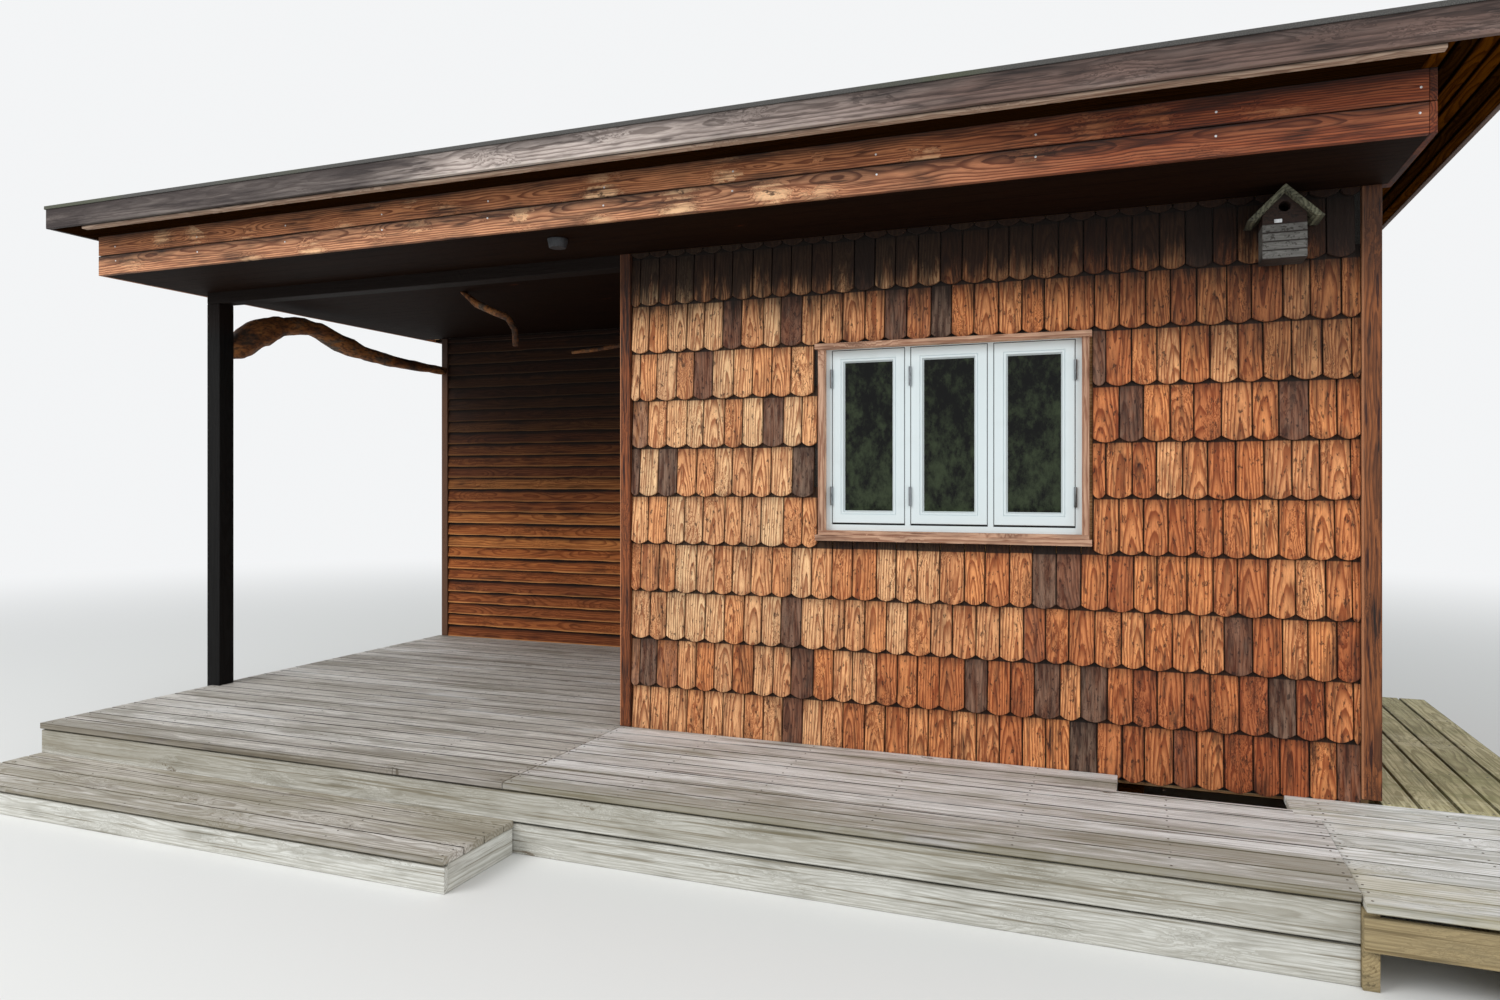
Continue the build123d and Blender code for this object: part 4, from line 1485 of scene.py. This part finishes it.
@dataclass
class LappedWall(Part):
    """The lapped boards of the porch wall, the left wall and the back."""

    exposure: float = 0.088
    overlap: float = 0.018
    thickness: float = 0.013
    fall: float = 0.015
    proud: float = 0.030
    arris: float = 0.003
    wane: float = 0.009
    steps: int = 40
    first_seed: int = 31

    def board(self) -> Loft:
        """One board a metre long, leaning out to its lower edge.

        Returns:
            The board.
        """
        top = self.exposure + self.overlap
        lean = self.fall * top / self.exposure
        section = [
            (-self.proud + self.arris, 0.0), (-self.proud, self.arris), (-self.proud + lean / 2, top / 2),
            (-self.proud + lean, top), (-self.proud + lean + self.thickness, top),
            (-self.proud + self.thickness, 0.0),
        ]
        return Loft([[(-0.5 + i / self.steps, y, z) for y, z in section] for i in range(self.steps + 1)])

    def build(self) -> None:
        """Hangs the boards on every wall that has them."""
        tree = LappedBoards(self.board())
        walls = (("porch_cladding", 0), ("left_cladding", -90), ("back_cladding", 180))
        for seed, (node, turn) in enumerate(walls, self.first_seed):
            low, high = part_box(node)
            mesh = tree.run({
                "Length": high.y - low.y if turn == -90 else high.x - low.x,
                "Courses": math.ceil((high.z - low.z) / self.exposure), "Exposure": self.exposure,
                "Wane": self.wane, "Boards per course": 1 if turn == 0 else 2, "Seed": seed,
            })
            corner = (low.x if turn == 0 else high.x, low.y if turn == 180 else high.y, low.z)
            mesh.transform(standing(corner, turn))
            trim_top(mesh, high.z)
            if node == "left_cladding":
                self.cut_door(mesh)
            self.show(node + "_boards", mesh, LAPPED, [node])

    @staticmethod
    def cut_door(mesh: Mesh) -> None:
        """Cuts the boards back to the door's frame.

        Args:
            mesh: The left wall's boards.
        """
        low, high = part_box("door_frame")
        with editing(mesh) as shape:
            split_at(shape, (0, low.y, 0), (0, -1, 0))
            split_at(shape, (0, high.y, 0), (0, 1, 0))
            split_at(shape, (0, 0, high.z), (0, 0, 1))
            middles = [(f, f.calc_center_median()) for f in shape.faces]
            inside = [f for f, m in middles if low.y < m.y < high.y and m.z < high.z]
            bmesh.ops.delete(shape, geom=inside, context="FACES")
            bmesh.ops.holes_fill(shape, edges=[e for e in shape.edges if e.is_boundary])


@dataclass
class Window(Part):
    """The three-light casement window in its brown casing."""

    stile: float = 0.056
    bead: float = 0.014
    bead_back: float = 0.001
    quirk: float = 0.004
    rebate: float = 0.007
    arris: float = 0.002
    clearance: float = 0.003
    seal_back: float = 0.002
    seal_in: float = 0.001
    drip: float = 0.005
    cap: float = 0.024
    nose: float = 0.026
    nose_proud: float = 0.030
    proud: float = 0.016
    overhang: float = 0.011
    frame_arris: float = 0.0012

    @staticmethod
    def frame_ring(low: Point, high: Point, section: Sequence[Span]) -> Loft:
        """A section swept round a rectangle on the wall, with mitred corners.

        Args:
            low: The rectangle's low corner; its y is the section's zero.
            high: The rectangle's high corner.
            section: Points (in from the edge, back from the front).

        Returns:
            The closed ring.
        """
        corners = (
            (low[0], low[2], 1, 1), (high[0], low[2], -1, 1),
            (high[0], high[2], -1, -1), (low[0], high[2], 1, -1),
        )
        return Loft([
            [(x + sx * inset, low[1] + back, z + sz * inset) for inset, back in section]
            for x, z, sx, sz in corners
        ], closed=True)

    def sash(self, node: str) -> list[Loft]:
        """Builds one sash with its bead.

        Args:
            node: The CAD node.

        Returns:
            The dark seals in the joint round it, and a dark strip under it that paints the shadow in its
            drip gap.
        """
        low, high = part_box(node)
        depth, glass_back = high.y - low.y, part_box("window_glass")[0].y - low.y
        foot = (low.x, low.y, low.z + self.drip)
        edge, bead = self.stile, self.stile - self.bead
        section = [
            (0.0, self.arris), (self.arris, 0.0), (bead - self.quirk, 0.0),
            (bead - self.quirk / 2, self.quirk), (bead, self.bead_back),
            (edge - self.rebate, self.bead_back), (edge, glass_back), (edge, depth), (0.0, depth),
        ]
        name = node + "_joinery"
        self.show(name, made(name, [self.frame_ring(foot, high, section)]), WHITE, [node])
        out, back = -self.clearance, self.seal_back
        seal = [(out, back), (self.seal_in, back), (self.seal_in, depth), (out, depth)]
        # A dark strip in the drip gap under the sash: painted shadow.
        under = box((low.x, low.y + back, low.z + out), (high.x, low.y + depth, foot[2]))
        return [self.frame_ring(foot, high, seal), under]

    def casing(self) -> list[Loft]:
        """The cap, the sill, the apron, the jambs and the lining, each one a board of its own.

        Returns:
            The boards.
        """
        low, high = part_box("window_casing")
        frame_low, frame_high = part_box("window_frame")
        core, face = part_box("front_shingles")[1].y, frame_high.z - self.cap
        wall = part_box("porch_beam")[0].y
        front, left, right = wall - self.proud, low.x + self.overhang, high.x - self.overhang
        foot = low.z + self.nose
        return [
            box((low.x, low.y, face), (high.x, frame_low.y, frame_high.z)),
            box((low.x, wall - self.nose_proud, low.z), (high.x, core, foot)),
            box((left, front, foot), (right, core, frame_low.z)),
            box((left, front, frame_low.z), (frame_low.x, core, face)),
            box((frame_high.x, front, frame_low.z), (right, core, face)),
            box((left, core, low.z), (frame_low.x, high.y, high.z)),
            box((frame_high.x, core, low.z), (right, high.y, high.z)),
            box((frame_low.x, core, frame_high.z), (frame_high.x, high.y, high.z)),
            box((frame_low.x, core, low.z), (frame_high.x, high.y, frame_low.z)),
        ]

    def build(self) -> None:
        """Builds the sashes, the frame, the casing, the hinges and the glass."""
        seals = [loft for side in ("left", "middle", "right") for loft in self.sash("window_sash_" + side)]
        self.show("window_seals", made("window_seals", seals), SEAL_AND_DRIP_SHADOW)
        self.dress("window_frame", WHITE, self.frame_arris)
        boards = made("window_casing_boards", self.casing(), self.arris)
        self.show("window_casing_boards", boards, CASING, ["window_casing"])
        self.dress("window_hinges", STEEL)
        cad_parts["window_glass"].data.materials.clear()
        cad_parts["window_glass"].data.materials.append(material(GLASS))


@dataclass
class NestBox(Part):
    """The nest box: brown gable with a hole, grey lapped boards below, two roof slabs."""

    boards: int = 4
    exposure: float = 0.033
    thickness: float = 0.007
    fall: float = 0.004
    arris: float = 0.0015
    plate: Point = (0.026, 0.004, 0.013)
    plate_left: float = 0.022
    plate_up: float = 0.004
    wear: float = 0.001
    roof_wear: float = 0.003

    def build(self) -> None:
        """Dresses the box and adds its boards and the plate under the hole."""
        self.dress("nest_box", NEST, self.wear, Axis.X)
        self.dress("nest_box_roof", LICHEN, self.roof_wear, Axis.Y)
        low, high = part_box("nest_box")
        face, rows = low.y - self.thickness, []
        for i in range(self.boards):
            foot, head = low.z + i * self.exposure, low.z + (i + 1) * self.exposure
            section = [
                (face, foot + self.arris), (face + self.arris, foot), (low.y, foot), (low.y, head),
                (face + self.fall, head),
            ]
            rows.append(Loft([[(x, y, z) for y, z in section] for x in (low.x, high.x)]))
        self.show("nest_box_boards", made("nest_box_boards", rows), NEST, (), Axis.X)
        width, depth, height = self.plate
        middle, foot = (low.x + high.x) / 2 - self.plate_left, head + self.plate_up
        plate = box((middle - width / 2, low.y - depth, foot), (middle + width / 2, low.y, foot + height))
        self.show("nest_box_plate", made("nest_box_plate", [plate]), NAIL)


@dataclass
class Branches(Part):
    """The natural limbs under the porch roof.

    A stop of the route holds how far back it is, how far below the soffit, and its radius.
    The last one lies at the back wall. A kind of knobs holds their height, how fine they
    are along the limb and round it, and where they are read. No limb follows askew.
    """

    sides: int = 16
    steps: int = 6
    aside: float = 0.044
    inside: float = 0.97
    knobs: Sequence[Point] = ((0.19, 9, 0.9, 0), (0.09, 24, 1.6, 4))
    knob_seed: int = 3
    askew: Point = (0.13, 0.21, 0.97)
    route: Sequence[Point] = (
        (0.0, 0.325, 0.050), (0.09, 0.290, 0.080), (0.22, 0.200, 0.088), (0.42, 0.125, 0.062),
        (0.66, 0.110, 0.055), (0.88, 0.170, 0.062), (1.20, 0.225, 0.048), (1.55, 0.245, 0.038),
    )
    route_end: Span = (0.252, 0.030)

    def smoothed(self, line: Sequence[tuple[Vector, float]]) -> list[tuple[Vector, float]]:
        """A line through the same points with soft bends.

        Args:
            line: Points with a radius each.

        Returns:
            More points with a radius each.
        """
        fine = []
        for i in range(len(line) - 1):
            near = [line[max(0, min(len(line) - 1, i + k))] for k in (-1, 0, 1, 2)]
            for step in range(self.steps):
                t = step / self.steps
                weights = (
                    -0.5 * t + t * t - 0.5 * t ** 3, 1 - 2.5 * t * t + 1.5 * t ** 3,
                    0.5 * t + 2 * t * t - 1.5 * t ** 3, -0.5 * t * t + 0.5 * t ** 3,
                )
                spot = sum((w * q[0] for w, q in zip(weights, near)), Vector())
                fine.append((spot, sum(w * q[1] for w, q in zip(weights, near))))
        return [*fine, line[-1]]

    def tube(self, line: Sequence[tuple[Vector, float]]) -> Loft:
        """A closed, knobbly tube along a line.

        Args:
            line: Points with a radius each.

        Returns:
            The tube.
        """
        rings = []
        for i, (spot, radius) in enumerate(line):
            way = (line[min(i + 1, len(line) - 1)][0] - line[max(i - 1, 0)][0]).normalized()
            side = way.cross(Vector(self.askew)).normalized()
            up = side.cross(way)
            ring = []
            for k in range(self.sides):
                angle = 2 * math.pi * k / self.sides
                out = side * math.cos(angle) + up * math.sin(angle)
                knob = 1.0
                for height, along, around, shift in self.knobs:
                    read = spot * along + out * around + Vector((self.knob_seed, shift, 0))
                    knob += height * noise.noise(read)
                ring.append(tuple(spot + out * radius * knob * self.inside))
            rings.append(ring)
        return Loft(rings)

    def build(self) -> None:
        """Grows the limbs along the solids' own lines."""
        low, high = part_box("branch_tie")
        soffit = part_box("soffit_boards")[0].z
        post_low, post_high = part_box("porch_post")
        middle, reach = (post_low.x + post_high.x) / 2, high.y - low.y
        line = [
            (Vector((middle + self.aside * back / reach, low.y + back, soffit - down)), radius)
            for back, down, radius in (*self.route, (reach, *self.route_end))
        ]
        tie = made("branch_tie_limb", [self.tube(self.smoothed(line))])
        for node, mesh in (("branch_tie", tie), ("ceiling_branches", self.solid("ceiling_branches", 0.0))):
            mesh.shade_smooth()
            self.show(node + "_limb", mesh, LIMB, [node])


@dataclass
class Timber(Part):
    """Every board, post and beam that keeps its solid's shape, the felt and the lamp."""

    def build(self) -> None:
        """Dresses them one after another, each with how much its arrises have worn."""
        for finish, wear, *nodes in (
            (FASCIA, 0.003, "lower_fascia"), (GREY, 0.003, "upper_fascia"), (BATTEN, 0.002, "drip_batten"),
            (SOFFIT, 0.001, "soffit_boards"), (SLATS, 0.002, "eave_boards"),
            (TRIM, 0.003, "corner_boards", "door_frame", "door_leaf"),
            (DARK, 0.004, "porch_post", "porch_beam"), (DECK, 0.003, "terrace_boards"),
            (WALK, 0.003, "walkway_boards"), (STEP, 0.004, "step_boards"),
            (PALE_DECK, 0.004, "right_deck_boards"), (MOSS_DECK, 0.004, "side_deck_boards"),
            (RISER, 0.003, "deck_risers"), (RISER, 0.002, "deck_joists"), (PLAIN, 0.002, "roof_joists"),
            (PLAIN, 0.0, "front_wall", "back_wall", "left_wall", "right_wall", "hut_floor",
             "hut_ceiling", "roof_slab"),
        ):
            for node in nodes:
                self.dress(node, finish, wear)
        self.dress("floor_bearers", SLATS, 0.002, slot="deck_timber")
        self.dress("porch_back_wall", RISER, slot="plain_board")
        self.dress("roof_felt", FELT, 0.004, suffix="_sheet")
        self.dress("eave_lamp", LAMP, 0.004, suffix="_shell")


@dataclass
class Fasteners(Part):
    """Screws in the deck boards over each joist, and nails in the lower fascia."""

    head: float = 0.0042
    head_sides: int = 8
    edge: float = 0.026
    sink: float = 0.0006
    stray: float = 0.004
    joist_width: float = 0.06
    nail_step: float = 0.598
    nail_end: float = 0.048
    nail_levels: Span = (0.072, 0.15)

    def disc(self) -> Loft:
        """One low screw head, facing up.

        Returns:
            The head.
        """
        spots = [2 * math.pi * k / self.head_sides for k in range(self.head_sides)]
        return Loft([
            [(math.cos(a) * r, math.sin(a) * r, z) for a in spots]
            for r, z in ((self.head, -self.sink), (self.head, self.sink), (self.head * 0.6, self.sink * 2))
        ])

    def boxes(self, node: str) -> list[tuple[list[float], list[float]]]:
        """The low and high corner of each board of a node."""
        mesh = self.solid(node, 0.0)
        return [self.corners(mesh, board) for board in self.islands(mesh)]

    def lay(self, tree: Fixings, finish: Finish, name: str, places: list[Point], turn: Matrix) -> None:
        """Puts one head at each place.

        Args:
            tree: The tree that repeats the head.
            finish: The heads' finish.
            name: The piece's name.
            places: Where the heads go, before the turn.
            turn: What turns them to their face.
        """
        spots = bpy.data.meshes.new(name + "_places")
        spots.from_pydata(places, [], [])
        holder = bpy.data.objects.new(name + "_places", spots)
        mesh = tree.run({"Places": holder, "Stray": self.stray, "Seed": len(places)})
        mesh.transform(turn)
        self.show(name, mesh, finish)

    def crossings(self, low: Point, high: Point, joists: Sequence[tuple[Point, Point]]) -> list[Point]:
        """Where one deck board is screwed down.

        Args:
            low: The board's low corner.
            high: The board's high corner.
            joists: Each joist's low and high corner.

        Returns:
            Two places over each joist under the board.
        """
        touching, end_room = 0.002, 0.01
        run = 0 if high[0] - low[0] > high[1] - low[1] else 1
        over = 1 - run
        found: list[Point] = []
        if high[over] - low[over] < 3 * self.edge:
            return found
        for start, end in joists:
            middle = (start[run] + end[run]) / 2
            crosses = start[over] < high[over] and end[over] > low[over]
            under = abs(end[2] - low[2]) < touching and end[run] - start[run] < self.joist_width
            if crosses and under and low[run] + end_room < middle < high[run] - end_room:
                for side in (low[over] + self.edge, high[over] - self.edge):
                    spot = (middle, side) if run == 0 else (side, middle)
                    found.append((*spot, high[2]))
        return found

    def build(self) -> None:
        """Fixes the decks and the fascia."""
        tree, joists = Fixings(self.disc()), self.boxes("deck_joists")
        decks = ("terrace", "walkway", "right_deck", "step", "side_deck")
        places = [
            spot for deck in decks for low, high in self.boxes(deck + "_boards")
            for spot in self.crossings(low, high, joists)
        ]
        self.lay(tree, SCREW, "deck_screws", places, Matrix())
        low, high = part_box("lower_fascia")
        places = [
            (high.x - self.nail_end - i * self.nail_step, low.z + level, -low.y)
            for i in range(int((high.x - low.x) / self.nail_step) + 1) for level in self.nail_levels
        ]
        self.lay(tree, NAIL, "fascia_nails", places, Matrix.Rotation(math.radians(90), 4, "X"))


@dataclass
class Studio:
    """The floor, the light and the camera."""

    eye: Point = (1.925, -5.16, 1.48)
    turn: float = 21.2
    lens: float = 24.0
    sensor: float = 36.0
    shift: Span = (0.0013, -0.012)
    backdrop: Point = (0.90, 0.91, 0.92)
    sky: Point = (0.95, 0.98, 1.0)
    sky_strength: float = 0.75
    aim: Point = (0, -0.5, 1.2)
    sight: float = 200.0
    ground: str = "E4E4E2"
    floor_reach: float = 60.0
    floor_fade: Span = (5.0, 16.0)

    def build(self) -> None:
        """Sets the stage."""
        bpy.context.scene.view_settings.view_transform = "Standard"
        self.floor()
        self.world()
        self.lamps()
        self.camera()

    def camera(self) -> None:
        """The camera, where the photo was taken from."""
        data = bpy.data.cameras.new("camera")
        data.lens, data.sensor_width, data.clip_end = self.lens, self.sensor, self.sight
        data.shift_x, data.shift_y = self.shift
        camera = bpy.data.objects.new("camera", data)
        camera.location = self.eye
        camera.rotation_euler = (math.radians(90), 0, math.radians(self.turn))
        bpy.context.scene.collection.objects.link(camera)
        bpy.context.scene.camera = camera

    def floor(self) -> None:
        """A pale floor that shows white from a distance and keeps the shadow."""
        s = Shader("studio_floor")
        x, y, _ = s.place()
        far = (x * x + y * y).root().ease(*self.floor_fade)
        seen = s.wire("ShaderNodeLightPath", name="Is Camera Ray")
        diffuse = s.wire("ShaderNodeBsdfDiffuse", {}, {"Color": self.ground})
        glow = s.wire("ShaderNodeEmission", {}, {"Color": self.backdrop, "Strength": 1.0})
        s.end(s.wire("ShaderNodeMixShader", {}, {"0": far * seen, "1": diffuse, "2": glow}))
        mesh = bpy.data.meshes.new("studio_floor")
        reach = self.floor_reach
        corners = [(-reach, -reach, 0), (reach, -reach, 0), (reach, reach, 0), (-reach, reach, 0)]
        mesh.from_pydata(corners, [], [(0, 1, 2, 3)])
        mesh.materials.append(s.material)
        floor = bpy.data.objects.new("studio_floor", mesh)
        bpy.context.scene.collection.objects.link(floor)

    def world(self) -> None:
        """A soft sky that looks near white to the camera and in reflections."""
        world = bpy.data.worlds.new("studio")
        world.use_nodes = True
        world.node_tree.nodes.clear()
        g = Graph(world.node_tree)
        path = g.node("ShaderNodeLightPath")
        seen = g.out(path, "Is Camera Ray").most(g.out(path, "Is Glossy Ray"))
        seen = seen.most(g.out(path, "Is Transmission Ray"))
        light = g.wire("ShaderNodeBackground", {}, {"Color": self.sky, "Strength": self.sky_strength})
        shown = g.wire("ShaderNodeBackground", {}, {"Color": self.backdrop, "Strength": 1.0})
        both = g.wire("ShaderNodeMixShader", {}, {"0": seen, "1": light, "2": shown})
        g.node("ShaderNodeOutputWorld", {}, {"Surface": both})
        bpy.context.scene.world = world

    def lamps(self) -> None:
        """A broad soft key from the front left and a weaker fill."""
        for name, place, power, size in (
            ("key", (-4.5, -7.5, 6.5), 465.0, 5.0), ("fill", (6.5, -6.0, 4.0), 140.0, 5.0),
        ):
            data = bpy.data.lights.new(name, "AREA")
            data.energy, data.size = power, size
            lamp = bpy.data.objects.new(name, data)
            lamp.location = place
            way = Vector(self.aim) - Vector(place)
            lamp.rotation_euler = way.to_track_quat("-Z", "Y").to_euler()
            bpy.context.scene.collection.objects.link(lamp)


def main() -> None:
    """Builds the scene piece by piece."""
    logging.basicConfig(level=logging.INFO, format="%(message)s")
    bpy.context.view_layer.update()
    Studio().build()
    for part in (ShingleWall(), LappedWall(), Window(), NestBox(), Branches(), Timber(), Fasteners()):
        part.build()


if __name__ == "__main__":
    main()
